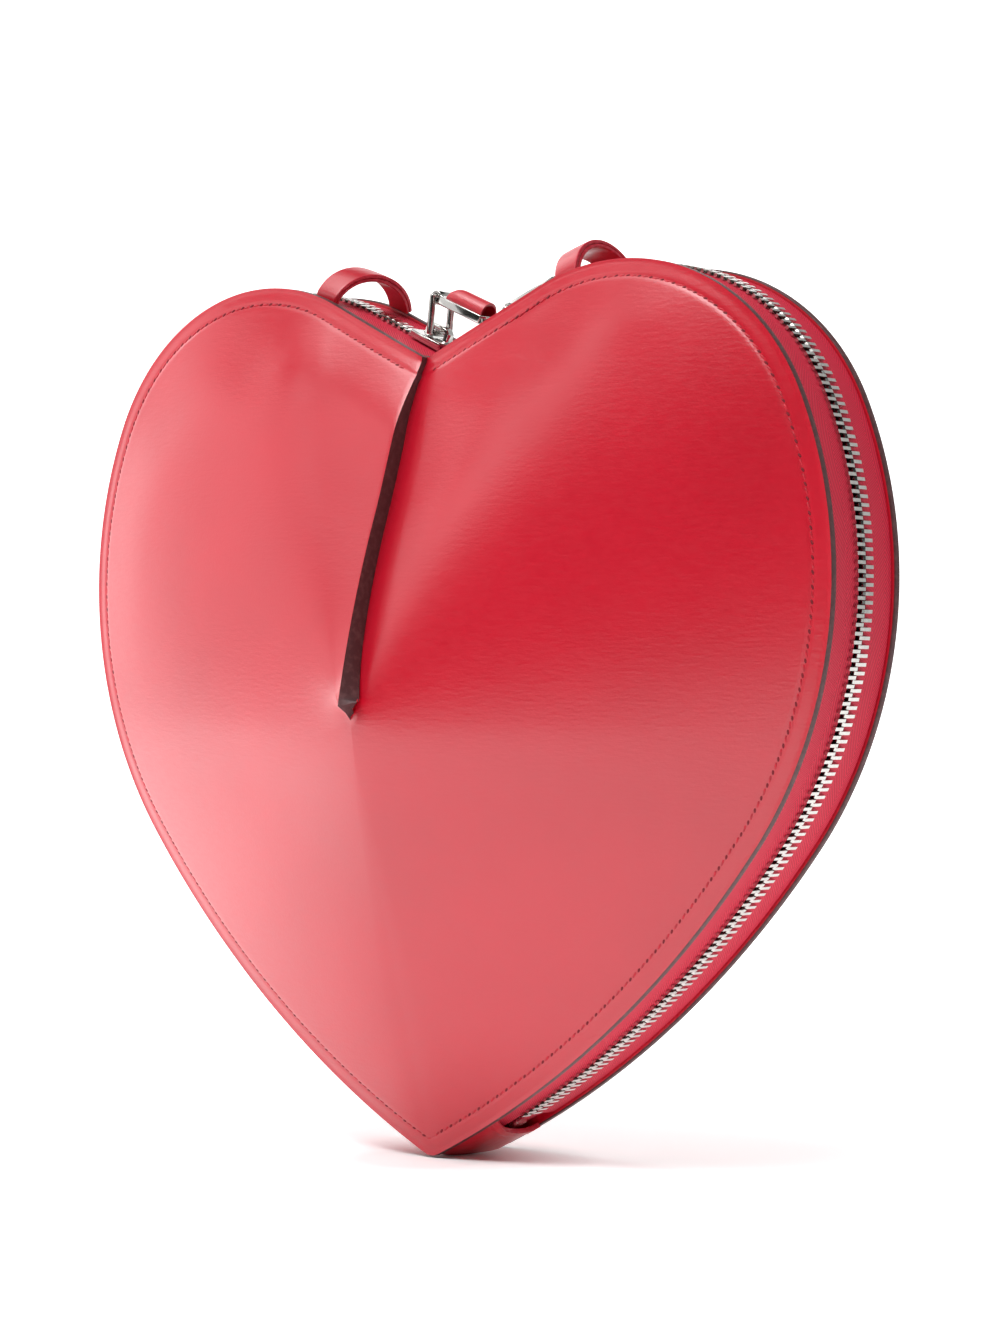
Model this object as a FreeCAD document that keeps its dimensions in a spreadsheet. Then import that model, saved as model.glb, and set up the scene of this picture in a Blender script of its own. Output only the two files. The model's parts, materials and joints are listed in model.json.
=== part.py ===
import FreeCAD, Part
import math
import os
import Sketcher

# A heart shaped shoulder purse in leather. The back panel is flat, and the front panel is a blunt cone
# drawn up by an overlapping dart from the notch to the middle. A zipped gusset runs round both lobes,
# with two sliders that meet at the notch and a leather gusset closing the tip. Front is -Y and up is +Z.

Vector = FreeCAD.Vector
Y_AXIS = Vector(0, 1, 0)

SIZES = {
    # outline of both panels: tip at the origin, three tangent arcs and a straight flank on each half
    "heart_height": 220.0,
    "lobe_centre_x": 57.0,
    "lobe_radius": 57.0,
    "lobe_end_angle": 24.0,
    "shoulder_radius": 106.0,
    "shoulder_end_angle": -37.0,
    "notch_depth": 21.0,
    # leather, gusset and lining
    "leather_thickness": 2.0,
    "gusset_depth": 25.0,
    "lining_thickness": 0.8,
    "lining_margin": 10.0,
    "lining_reach_share": 0.91,
    # front panel: cone height, place of its top, and the dart
    "dome_rise": 31.5,
    "dome_fullness": 4.0,
    "apex_height": 109.0,
    "apex_flat": 3.0,
    "dart_lift": 5.6,
    "dart_slit": 0.5,
    "dart_ramp": 5.0,
    "dart_spread_angle": 62.0,
    # zip tape and chain
    "tape_thickness": 0.6,
    "tape_recess": 1.0,
    "tape_hem": 7.0,
    "tape_edge": 1.65,
    "tooth_pitch": 2.05,
    "tooth_thickness": 0.85,
    "tooth_root": 3.25,
    "tooth_cross": 0.5,
    "tooth_height": 2.4,
    "tooth_nose_height": 1.5,
    "tooth_slot": 0.7,
    "stop_length": 3.0,
    # leather gusset at the tip
    "base_reach": 15.0,
    "base_recess": 0.4,
    "base_gap": 0.4,
    # strap tabs over the gusset at the inner side of each lobe
    "tab_width": 9.0,
    "tab_thickness": 2.0,
    "tab_rise": 11.0,
    # from the right slider to the tab along the chain, room for its pull to lie between them
    "tab_offset": 32.8,
    "tab_gap": 0.8,
    "seat_gap": 0.1,
    # sliders, in the frame of the flank they run on
    # free room between each slider and the middle plane over the notch
    "slider_left_gap": 6.9,
    "slider_right_gap": 2.7,
    "slider_length": 10.6,
    "slider_nose_width": 10.4,
    "slider_tail_width": 9.4,
    "slider_plate": 1.1,
    "slider_channel": 3.0,
    "slider_channel_width": 7.8,
    "slider_slot": 1.2,
    "wedge_length": 2.6,
    "wedge_width": 2.2,
    "bail_length": 7.6,
    "bail_width": 2.6,
    "bail_bar": 1.0,
    "bail_post": 1.2,
    "bail_hole": 2.3,
    # link ring on the bail, and the pull plate on the link
    "link_length": 9.0,
    "link_width": 9.0,
    "link_wire": 1.5,
    "link_round": 0.45,
    "link_left_angle": 95.5,
    "link_right_angle": 20.0,
    "barrel_diameter": 3.6,
    "barrel_bore": 2.0,
    "barrel_width": 5.4,
    "pull_length": 17.0,
    "pull_width": 8.4,
    "pull_thickness": 2.2,
    "pull_rim": 1.2,
    "pull_start": 2.6,
    "pull_left_angle": 203.5,
    "pull_right_angle": -4.0,
    "inlay_proud": 0.35,
    "inlay_round": 0.3,
}

doc = FreeCAD.newDocument("heart_purse")
sheet = doc.addObject("Spreadsheet::Sheet", "sheet")
for row, (alias, size) in enumerate(SIZES.items(), start=1):
    sheet.set("A%d" % row, alias)
    sheet.set("B%d" % row, str(size))
    sheet.setAlias("B%d" % row, alias)
doc.recompute()


def val(alias):
    """Gives a size from the sheet."""
    return float(getattr(sheet, alias))


# heart outline in the XZ plane, worked out once for the right half
LOBE = Vector(val("lobe_centre_x"), 0, val("heart_height") - val("lobe_radius"))
NOTCH_HEIGHT = val("heart_height") - val("notch_depth")
LOBE_END = math.radians(val("lobe_end_angle"))
SHOULDER_END = math.radians(val("shoulder_end_angle"))


def polar(centre, radius, angle):
    """Gives the point at a radius and an angle from a centre in the XZ plane."""
    return centre + Vector(radius * math.cos(angle), 0, radius * math.sin(angle))


SHOULDER = polar(LOBE, val("lobe_radius") - val("shoulder_radius"), LOBE_END)
# the side arc leaves the shoulder arc without a kink and ends at the tip
facing = polar(Vector(), 1, SHOULDER_END)
spare = SHOULDER.dot(SHOULDER) - val("shoulder_radius") ** 2
reach = spare / 2 / (SHOULDER.dot(facing) + val("shoulder_radius"))
SIDE_RADIUS = reach + val("shoulder_radius")
SIDE = SHOULDER - facing * reach
# the flank is the tangent from the notch to the lobe
notch_way = Vector(0, 0, NOTCH_HEIGHT) - LOBE
LOBE_START = math.atan2(notch_way.z, notch_way.x) - math.acos(val("lobe_radius") / notch_way.Length)
FLANK = LOBE_START - math.pi / 2


def tip_height(inset):
    """Gives the height of the tip of the outline drawn in by an inset."""
    return SIDE.z - math.sqrt((SIDE_RADIUS - inset) ** 2 - SIDE.x ** 2)


def tip_angle(inset):
    """Gives the angle at which the side arc of the drawn in outline reaches the tip."""
    return math.atan2(tip_height(inset) - SIDE.z, -SIDE.x)


def notch_point(inset):
    """Gives the notch of the outline drawn in by an inset."""
    return Vector(0, 0, NOTCH_HEIGHT - inset / math.cos(FLANK))


def half_runs(inset, side_end):
    """Gives the right half from the notch down, as a line and three arcs (centre, radius, from, to)."""
    start = polar(LOBE, val("lobe_radius") - inset, LOBE_START)
    return [
        (notch_point(inset), start),
        (LOBE, val("lobe_radius") - inset, LOBE_START, LOBE_END),
        (SHOULDER, val("shoulder_radius") - inset, LOBE_END, SHOULDER_END),
        (SIDE, SIDE_RADIUS - inset, SHOULDER_END, side_end),
    ]


def base_angle(distance):
    """Gives the side arc's angle at a distance along the outline from the tip."""
    return tip_angle(0) + distance / SIDE_RADIUS


def run_length(run):
    """Gives the length of a line or an arc."""
    if len(run) == 2:
        return (run[1] - run[0]).Length
    return run[1] * abs(run[3] - run[2])


def run_point(run, share):
    """Gives the point and the outward normal's angle at a share of a run."""
    if len(run) == 2:
        return run[0] + (run[1] - run[0]) * share, LOBE_START
    angle = run[2] + (run[3] - run[2]) * share
    return polar(run[0], run[1], angle), angle


def path_point(runs, distance):
    """Gives the point and the normal's angle at a distance from the notch."""
    for run in runs:
        length = run_length(run)
        if distance <= length or run is runs[-1]:
            return run_point(run, distance / length)
        distance -= length


def sketch_curve(run, mirrored):
    """Gives a run as sketch geometry in the XZ plane, mirrored for the left half if asked."""
    flip = -1 if mirrored else 1
    if len(run) == 2:
        ends = [Vector(flip * point.x, point.z, 0) for point in run]
        return Part.LineSegment(ends[0], ends[1])
    centre = Vector(flip * run[0].x, run[0].z, 0)
    angles = sorted(math.pi - angle if mirrored else angle for angle in run[2:])
    return Part.ArcOfCircle(Part.Circle(centre, Vector(0, 0, 1), run[1]), angles[0], angles[1])


def end_line(inset_from, inset_to, angle, mirrored):
    """Gives the straight end of a strip across the side arc."""
    flip = -1 if mirrored else 1
    ends = [polar(SIDE, SIDE_RADIUS - inset, angle) for inset in (inset_from, inset_to)]
    return Part.LineSegment(Vector(flip * ends[0].x, ends[0].z, 0), Vector(flip * ends[1].x, ends[1].z, 0))


def heart_curves(inset):
    """Gives the closed outline drawn in by an inset."""
    runs = half_runs(inset, tip_angle(inset))
    return [sketch_curve(run, mirrored) for mirrored in (False, True) for run in runs]


def strip_curves(outer, inner, angle):
    """Gives the closed outline of a strip over both lobes, open at the tip."""
    curves = []
    for mirrored in (False, True):
        for inset in (outer, inner):
            curves += [sketch_curve(run, mirrored) for run in half_runs(inset, angle)]
        curves.append(end_line(outer, inner, angle, mirrored))
    return curves


def new_body(label):
    """Adds a body with its own label."""
    body = doc.addObject("PartDesign::Body", label)
    body.Label = label
    return body


def new_sketch(body, plane, name, depth=None):
    """Adds a sketch on one of the body's origin planes, moved along the plane's normal by an expression."""
    sketch = body.newObject("Sketcher::SketchObject", body.Name + "_" + name)
    sketch.AttachmentSupport = [(next(f for f in body.Origin.OriginFeatures if f.Role == plane), "")]
    sketch.MapMode = "FlatFace"
    if depth:
        sketch.setExpression("AttachmentOffset.Base.z", depth)
    return sketch


def outline(sketch, curves):
    """Puts a closed outline into a sketch."""
    sketch.addGeometry(curves, False)


def polygon(sketch, points):
    """Puts a closed polygon into a sketch and ties its corners."""
    corners = [Vector(x, y, 0) for x, y in points]
    count = len(corners)
    first = sketch.GeometryCount
    for index in range(count):
        sketch.addGeometry(Part.LineSegment(corners[index], corners[(index + 1) % count]), False)
    for index in range(count):
        follower = first + (index + 1) % count
        sketch.addConstraint(Sketcher.Constraint("Coincident", first + index, 2, follower, 1))


def rectangle(sketch, left, right, low, high, width=None, height=None):
    """Puts a rectangle into a sketch, with its width and height bound to the sheet where given."""
    first = sketch.GeometryCount
    polygon(sketch, [(left, low), (right, low), (right, high), (left, high)])
    for index in (0, 2):
        sketch.addConstraint(Sketcher.Constraint("Horizontal", first + index))
        sketch.addConstraint(Sketcher.Constraint("Vertical", first + index + 1))
    across = ("DistanceX", 0, right - left, width)
    upright = ("DistanceY", 1, high - low, height)
    for kind, edge, size, expression in (across, upright):
        if expression:
            name = "%s_%d" % (kind, first)
            number = sketch.addConstraint(Sketcher.Constraint(kind, first + edge, 1, first + edge, 2, size))
            sketch.renameConstraint(number, name)
            sketch.setExpression("Constraints." + name, expression)


def pad(body, sketch, name, length, midplane=False, reverse=False):
    """Adds a pad whose length is bound to the sheet."""
    feature = body.newObject("PartDesign::Pad", body.Name + "_" + name)
    feature.Profile = sketch
    feature.Midplane = midplane
    feature.Reversed = reverse
    feature.setExpression("Length", length)
    return feature


def flat_heart(label, inset, depth, thickness):
    """Builds a flat heart, its rear face at a depth behind the middle plane."""
    body = new_body(label)
    sketch = new_sketch(body, "XZ_Plane", "outline", "-(%s)" % depth)
    outline(sketch, heart_curves(inset))
    pad(body, sketch, "sheet", thickness)
    return body


def zip_tape(label, front):
    """Builds one half of the zip tape: the gusset wall and the hem sewn behind the panel."""
    body = new_body(label)
    outer = val("tape_recess")
    angle = base_angle(val("base_reach") + val("base_gap"))
    wall_depth = "sheet.tape_edge" if front else "-sheet.gusset_depth / 2"
    hem_depth = "sheet.gusset_depth / 2 - sheet.tape_thickness" if front else "-sheet.gusset_depth / 2"
    wall = new_sketch(body, "XZ_Plane", "wall_outline", wall_depth)
    outline(wall, strip_curves(outer, outer + val("tape_thickness"), angle))
    pad(body, wall, "wall", "sheet.gusset_depth / 2 - sheet.tape_edge")
    hem = new_sketch(body, "XZ_Plane", "hem_outline", hem_depth)
    outline(hem, strip_curves(outer, outer + val("tape_hem"), angle))
    pad(body, hem, "hem", "sheet.tape_thickness")
    return body


def tooth(length, side):
    """Builds one tooth that grips the tape edge, its head past the middle, on the given side of it."""
    half, nose, slot = (val(name) / 2 for name in ("tooth_height", "tooth_nose_height", "tooth_slot"))
    root, cross, edge = val("tooth_root"), val("tooth_cross"), val("tape_edge") - val("seat_gap")
    profile = [(root, slot), (root, half), (0, half), (-cross, nose), (-cross, -nose), (0, -half)]
    profile += [(root, -half), (root, -slot), (edge, -slot), (edge, slot)]
    corners = [Vector(-length / 2, side * across, up) for across, up in profile]
    return Part.Face(Part.makePolygon(corners + corners[:1])).extrude(Vector(length, 0, 0))


def stand(shape, point, angle):
    """Places a shape on the outline with its own Z along the outward normal."""
    copy = shape.copy()
    turn = FreeCAD.Rotation(Y_AXIS, 90 - math.degrees(angle))
    copy.Placement = FreeCAD.Placement(point, turn)
    return copy


def chain_inset():
    """Gives the depth of the tape's middle under the outline."""
    return val("tape_recess") + val("tape_thickness") / 2


# steps of halving that settle a place along the chain
HALVINGS = 50


def chain_runs():
    """Gives the chain's path on the right half, in the middle of the tape's thickness."""
    return half_runs(chain_inset(), base_angle(val("base_reach") + val("base_gap")))


def slider_reach(lean):
    """Gives how far a slider on a flank of that lean reaches towards the middle plane."""
    deck = val("slider_channel") / 2 + val("slider_plate")
    crown = deck + val("bail_hole") + val("bail_bar")
    corners = ((val("slider_length") / 2, deck), (val("bail_length") / 2, crown))
    return max(half * math.cos(lean) + high * math.sin(lean) for half, high in corners)


def slider_distance(mirrored):
    """Gives the distance from the notch at which a slider has its gap, found by halving the way."""
    gap = val("slider_left_gap") if mirrored else val("slider_right_gap")
    runs = chain_runs()
    near, far = 0, run_length(runs[0]) + run_length(runs[1])
    for step in range(HALVINGS):
        middle = (near + far) / 2
        point, angle = path_point(runs, middle)
        if point.x - slider_reach(angle - math.pi / 2) < gap:
            near = middle
        else:
            far = middle
    return far


def along_chain(shape, distances, runs, mirrored):
    """Puts copies of a shape along the chain of one half."""
    copies = []
    for distance in distances:
        point, angle = path_point(runs, distance)
        if mirrored:
            point, angle = Vector(-point.x, point.y, point.z), math.pi - angle
        copies.append(stand(shape, point, angle))
    return copies


def chain_start(mirrored):
    """Gives the distance from the notch at which the chain leaves the slider's wedge."""
    nose = slider_distance(mirrored) - val("slider_length") / 2
    return nose + val("wedge_length") + val("tooth_pitch")


def chain_teeth(label, side):
    """Builds one row of teeth over both lobes, the front row half a pitch after the back row."""
    runs = chain_runs()
    total = sum(run_length(run) for run in runs)
    pitch = val("tooth_pitch")
    shift = 0 if side > 0 else pitch / 2
    teeth = []
    for mirrored in (False, True):
        start = chain_start(mirrored) + shift
        count = int((total - start - val("stop_length") - pitch) / pitch)
        distances = [start + index * pitch for index in range(count)]
        teeth += along_chain(tooth(val("tooth_thickness"), side), distances, runs, mirrored)
    feature = doc.addObject("Part::Feature", label)
    feature.Shape = Part.makeCompound(teeth)
    return feature


def chain_stops(label):
    """Builds the stops clamped on the back tape at the lower ends of the chain."""
    runs = chain_runs()
    total = sum(run_length(run) for run in runs)
    middle = total - val("stop_length") / 2
    block = tooth(val("stop_length"), 1)
    stops = [along_chain(block, [middle], runs, mirrored)[0] for mirrored in (False, True)]
    feature = doc.addObject("Part::Feature", label)
    feature.Shape = Part.makeCompound(stops)
    return feature


# front panel: a cone over the heart with a blunt top, its left half lifted along the dart
GRID_AROUND = 52
GRID_OUT_SHARES = (0.0, 0.025, 0.06, 0.11, 0.18, 0.3, 0.45, 0.6, 0.75, 0.88, 0.96, 1.0)


def dome_height(share):
    """Gives the panel's height over the rim at a share of the way from the top to the rim."""
    return val("dome_rise") * (1 - share) + val("dome_fullness") * 4 * share * (1 - share)


def dart_height(share, around, start):
    """Gives the extra height of the lapping half near the dart."""
    spread = math.degrees(around) / val("dart_spread_angle")
    if spread >= 1:
        return 0
    length = NOTCH_HEIGHT - val("apex_height")
    ramp = min(1, (share - start) * length / val("dart_ramp"))
    ease = ramp * ramp * (3 - 2 * ramp)
    return val("dart_lift") * ease * (1 - share / 2) * (1 - spread) ** 2 * (1 + 2 * spread)


def rim_points(mirrored, slit):
    """Gives evenly spaced points of one half's rim from the dart to the tip."""
    runs = half_runs(0, tip_angle(0))
    total = sum(run_length(run) for run in runs)
    points = []
    for index in range(GRID_AROUND + 1):
        distance = slit + (total - slit) * index / GRID_AROUND
        point = path_point(runs, distance)[0]
        points.append(Vector(-point.x, 0, point.z) if mirrored else point)
    return points


def spline_face(rows):
    """Builds a smooth face on a grid of control points."""
    def knots(count):
        inner = count - 4
        return [index / (inner + 1) for index in range(inner + 2)], [4] + [1] * inner + [4]
    along, along_times = knots(len(rows))
    across, across_times = knots(len(rows[0]))
    surface = Part.BSplineSurface()
    surface.buildFromPolesMultsKnots(rows, along_times, across_times, along, across, False, False, 3, 3)
    return surface


def dome_shell(label, reach_share, depth, thickness, lapped):
    """Builds a coned sheet under the panel's outer face: the panel itself or a lining inside it."""
    top = Vector(0, 0, val("apex_height"))
    rim_y = -(val("gusset_depth") / 2 + val("leather_thickness"))
    start = val("apex_flat") / (NOTCH_HEIGHT - val("apex_height"))
    faces = []
    rings = {}
    for mirrored in (False, True):
        slit = val("dart_slit") if lapped and not mirrored else 0
        grids = {}
        for layer, inward in (("outer", depth), ("inner", depth + thickness)):
            rows = []
            for point in rim_points(mirrored, slit):
                ray = point - top
                around = abs(math.atan2(ray.x, ray.z))
                row = []
                for grid_share in GRID_OUT_SHARES:
                    share = start + (reach_share - start) * grid_share
                    height = dome_height(share)
                    if lapped and mirrored:
                        height += dart_height(share, around, start)
                    row.append(top + ray * share + Vector(0, rim_y + inward - height, 0))
                # the flat top stays common to both halves
                row[0] = Vector(top.x + ray.x * start, row[0].y, top.z + ray.z * start)
                rows.append(row)
            if lapped and not mirrored:
                rows[0][0] = Vector(0, rows[0][0].y, top.z + val("apex_flat"))
            grids[layer] = spline_face(rows)
            faces.append(grids[layer].toShape())
        ends = {layer: (grid.vIso(0).toShape(), grid.vIso(1).toShape()) for layer, grid in grids.items()}
        faces.append(Part.makeRuledSurface(ends["outer"][1], ends["inner"][1]))
        for layer in grids:
            rings.setdefault(layer, []).append(ends[layer][0])
        if lapped:
            cuts = [grid.uIso(0).toShape() for grid in grids.values()]
            faces.append(Part.makeRuledSurface(cuts[0], cuts[1]))
    for layer in rings:
        faces.append(Part.Face(Part.Wire(Part.__sortEdges__(rings[layer]))))
    shell = Part.makeCompound(faces)
    shell.sewShape()
    solid = Part.makeSolid(Part.Shell(shell.Faces))
    tolerance = solid.getTolerance(1)
    solid.fix(tolerance, tolerance, tolerance)
    feature = doc.addObject("Part::Feature", label)
    feature.Shape = solid
    return feature


def base_gusset(label):
    """Builds the leather strip that closes the gusset under the tip."""
    body = new_body(label)
    outer = val("base_recess")
    inner = outer + val("leather_thickness")
    angle = base_angle(val("base_reach"))
    sketch = new_sketch(body, "XZ_Plane", "outline", "-sheet.gusset_depth / 2")
    curves = []
    for mirrored in (False, True):
        for inset in (outer, inner):
            curves.append(sketch_curve((SIDE, SIDE_RADIUS - inset, angle, tip_angle(inset)), mirrored))
        curves.append(end_line(outer, inner, angle, mirrored))
    outline(sketch, curves)
    pad(body, sketch, "strip", "sheet.gusset_depth - sheet.base_gap")
    return body


def strap_tab(label, mirrored):
    """Builds the leather loop that arches over the gusset, bent about the middle of its lobe."""
    body = new_body(label)
    sketch = new_sketch(body, "YZ_Plane", "arch")
    foot = val("lobe_radius") - val("tape_recess") + val("seat_gap")
    front = -val("gusset_depth") / 2 + val("seat_gap")
    back = val("gusset_depth") / 2 + val("leather_thickness") / 2
    # the outer face is a circle over the front foot, the crown and the rear end
    spring = val("lobe_radius") + val("tab_gap")
    chord = back - front
    rise = val("lobe_radius") + val("tab_rise") - spring
    bend = (chord ** 2 / 4 + rise ** 2) / (2 * rise)
    centre = Vector((front + back) / 2, spring + rise - bend, 0)
    swing = math.asin(chord / 2 / bend)
    arcs = []
    for radius in (bend - val("tab_thickness"), bend):
        circle = Part.Circle(centre, Vector(0, 0, 1), radius)
        arcs.append(Part.ArcOfCircle(circle, math.pi / 2 - swing, math.pi / 2 + swing))
    inner, outer = arcs
    feet = [Vector(end.x, foot, 0) for end in (outer.EndPoint, inner.EndPoint)]
    leg = [outer.EndPoint] + feet + [inner.EndPoint]
    sketch.addGeometry(arcs, False)
    for start, end in zip(leg[:-1], leg[1:]):
        sketch.addGeometry(Part.LineSegment(start, end), False)
    sketch.addGeometry(Part.LineSegment(outer.StartPoint, inner.StartPoint), False)
    turn = body.newObject("PartDesign::Revolution", label + "_bend")
    turn.Profile = sketch
    turn.ReferenceAxis = (sketch, ["H_Axis"])
    turn.Midplane = True
    turn.setExpression("Angle", "sheet.tab_width / sheet.lobe_radius * 180 / pi")
    point, angle = path_point(chain_runs(), slider_distance(False) + val("tab_offset"))
    centre = point - polar(Vector(), val("lobe_radius") - chain_inset(), angle)
    lean = 90 - math.degrees(angle)
    centre_x = -centre.x if mirrored else centre.x
    turned = FreeCAD.Rotation(Y_AXIS, -lean if mirrored else lean)
    body.Placement = FreeCAD.Placement(Vector(centre_x, 0, centre.z), turned)
    return body


def flank_frame(mirrored):
    """Gives the frame of a slider at rest: Z out of the flank, X up the right flank or down the left one."""
    point, angle = path_point(chain_runs(), slider_distance(mirrored))
    turn = FreeCAD.Rotation(Y_AXIS, 90 - math.degrees(angle))
    if mirrored:
        point, turn = Vector(-point.x, 0, point.z), turn.inverted()
    return FreeCAD.Placement(point, turn)


def slider_body(label, mirrored):
    """Builds a slider: two plates, a wedge towards the notch, lips beside the tape and a bail on top."""
    body = new_body(label)
    flip = -1 if mirrored else 1
    half = val("slider_length") / 2
    nose, tail = val("slider_nose_width") / 2, val("slider_tail_width") / 2
    plan = [(-flip * half, -nose), (0, -nose), (flip * half, -tail)]
    plan += [(x, -y) for x, y in reversed(plan)]
    above = "sheet.slider_channel / 2"
    below = "-(sheet.slider_channel / 2 + sheet.slider_plate)"
    top = new_sketch(body, "XY_Plane", "top_outline", above)
    polygon(top, plan)
    pad(body, top, "top", "sheet.slider_plate")
    wedge = new_sketch(body, "XY_Plane", "wedge_outline", below)
    front = -flip * half
    rear = front + flip * val("wedge_length")
    middle = (front + rear) / 2
    width = val("wedge_width") / 2
    polygon(wedge, [(front, -width), (middle, -width), (rear, 0), (middle, width), (front, width)])
    pad(body, wedge, "wedge", "sheet.slider_channel + 2 * sheet.slider_plate")
    bottom = new_sketch(body, "XY_Plane", "bottom_outline", below)
    polygon(bottom, plan)
    pad(body, bottom, "bottom", "sheet.slider_plate")
    channel = val("slider_channel_width") / 2
    lip = "(sheet.slider_channel - sheet.slider_slot) / 2"
    starts = {"upper_lips": "sheet.slider_slot / 2", "lower_lips": "-sheet.slider_channel / 2"}
    for name, depth in starts.items():
        sketch = new_sketch(body, "XY_Plane", name + "_outline", depth)
        for side in (-1, 1):
            corners = [(-half, channel), (half, channel), (half, tail), (-half, tail)]
            polygon(sketch, [(x, side * y) for x, y in corners])
        pad(body, sketch, name, lip)
    bail = new_sketch(body, "XZ_Plane", "bail_outline")
    low = val("slider_channel") / 2
    floor = low + val("slider_plate")
    high = floor + val("bail_hole")
    reach_out = val("bail_length") / 2
    inner = reach_out - val("bail_post")
    polygon(bail, [(-reach_out, low), (reach_out, low), (reach_out, high), (inner, high + val("bail_bar")),
                   (-inner, high + val("bail_bar")), (-reach_out, high)])
    rectangle(bail, -inner, inner, floor, high, "sheet.bail_length - 2 * sheet.bail_post", "sheet.bail_hole")
    pad(body, bail, "bail", "sheet.bail_width", midplane=True)
    body.Placement = flank_frame(mirrored)
    return body


def link_frame(mirrored):
    """Gives the frame of a link at rest: X along it, from the bar in the bail to the bar in the barrel.

    The left link's angle is from the level, since it stands up, and the right one's is from its flank.
    """
    high = val("slider_channel") / 2 + val("slider_plate") + val("bail_hole") / 2
    carrier = flank_frame(mirrored)
    bar = carrier.multVec(Vector(0, 0, high))
    if mirrored:
        return FreeCAD.Placement(bar, FreeCAD.Rotation(Y_AXIS, val("link_left_angle") - 180))
    turn = FreeCAD.Rotation(Y_AXIS, -val("link_right_angle"))
    return FreeCAD.Placement(bar, carrier.Rotation.multiply(turn))


def pull_frame(mirrored):
    """Gives the frame of a pull at rest: X along it, from the middle of its barrel."""
    angle = val("pull_left_angle") if mirrored else val("pull_right_angle")
    base = val("link_left_angle") if mirrored else val("link_right_angle")
    tilt = base - angle if mirrored else angle - base
    local = FreeCAD.Placement(Vector(val("link_length"), 0, 0), FreeCAD.Rotation(Y_AXIS, -tilt))
    return link_frame(mirrored).multiply(local)


def link_ring(label, mirrored):
    """Builds the square wire ring between a slider's bail and its pull."""
    body = new_body(label)
    wire, length, width = val("link_wire"), val("link_length"), val("link_width")
    sketch = new_sketch(body, "XY_Plane", "outline")
    rectangle(sketch, -wire / 2, length + wire / 2, -width / 2, width / 2,
              "sheet.link_length + sheet.link_wire", "sheet.link_width")
    rectangle(sketch, wire / 2, length - wire / 2, wire - width / 2, width / 2 - wire,
              "sheet.link_length - sheet.link_wire", "sheet.link_width - 2 * sheet.link_wire")
    ring = pad(body, sketch, "ring", "sheet.link_wire", midplane=True)
    doc.recompute()
    rounding = body.newObject("PartDesign::Fillet", label + "_round")
    rounding.Base = (ring, ["Edge%d" % (index + 1) for index in range(len(ring.Shape.Edges))])
    rounding.setExpression("Radius", "sheet.link_round")
    body.Placement = link_frame(mirrored)
    return body


# the window in a pull, which its leather fills
WINDOW_LENGTH = "sheet.pull_length - sheet.pull_start - 2 * sheet.pull_rim"
WINDOW_WIDTH = "sheet.pull_width - 2 * sheet.pull_rim"


def pull_plate(label, mirrored):
    """Builds a pull: a barrel on the link's bar and a framed plate with a window for the leather."""
    body = new_body(label)
    barrel = new_sketch(body, "XZ_Plane", "barrel_outline")
    barrel.addGeometry(Part.Circle(Vector(), Vector(0, 0, 1), val("barrel_diameter") / 2), False)
    barrel.addConstraint(Sketcher.Constraint("Diameter", 0, val("barrel_diameter")))
    barrel.renameConstraint(0, "barrel")
    barrel.setExpression("Constraints.barrel", "sheet.barrel_diameter")
    pad(body, barrel, "barrel", "sheet.barrel_width", midplane=True)
    start, end = val("pull_start"), val("pull_length")
    width, rim, neck = val("pull_width") / 2, val("pull_rim"), val("barrel_width") / 2
    plate = new_sketch(body, "XY_Plane", "plate_outline")
    edge = [(0, -neck), (start, -neck), (start, -width), (end, -width)]
    polygon(plate, edge + [(x, -y) for x, y in reversed(edge)])
    rectangle(plate, start + rim, end - rim, rim - width, width - rim, WINDOW_LENGTH, WINDOW_WIDTH)
    pad(body, plate, "plate", "sheet.pull_thickness", midplane=True)
    bore = new_sketch(body, "XZ_Plane", "bore_outline")
    bore.addGeometry(Part.Circle(Vector(), Vector(0, 0, 1), val("barrel_bore") / 2), False)
    bore.addConstraint(Sketcher.Constraint("Diameter", 0, val("barrel_bore")))
    bore.renameConstraint(0, "bore")
    bore.setExpression("Constraints.bore", "sheet.barrel_bore")
    pocket = body.newObject("PartDesign::Pocket", label + "_bore")
    pocket.Profile = bore
    pocket.Type = "ThroughAll"
    pocket.Midplane = True
    body.Placement = pull_frame(mirrored)
    return body


def pull_inlay(label, mirrored):
    """Builds the leather that fills a pull's window, a little proud on both faces."""
    body = new_body(label)
    start, end = val("pull_start") + val("pull_rim"), val("pull_length") - val("pull_rim")
    width = val("pull_width") / 2 - val("pull_rim")
    sketch = new_sketch(body, "XY_Plane", "outline")
    rectangle(sketch, start, end, -width, width, WINDOW_LENGTH, WINDOW_WIDTH)
    block = pad(body, sketch, "leather", "sheet.pull_thickness + 2 * sheet.inlay_proud", midplane=True)
    doc.recompute()
    level = val("pull_thickness") / 2 + val("inlay_proud")
    edges = [index + 1 for index, edge in enumerate(block.Shape.Edges)
             if all(abs(abs(vertex.Z) - level) < val("inlay_round") / 2 for vertex in edge.Vertexes)
             and abs(edge.CenterOfMass.z) > level - val("inlay_round") / 2]
    rounding = body.newObject("PartDesign::Fillet", label + "_round")
    rounding.Base = (block, ["Edge%d" % index for index in edges])
    rounding.setExpression("Radius", "sheet.inlay_round")
    body.Placement = pull_frame(mirrored)
    return body


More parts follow.
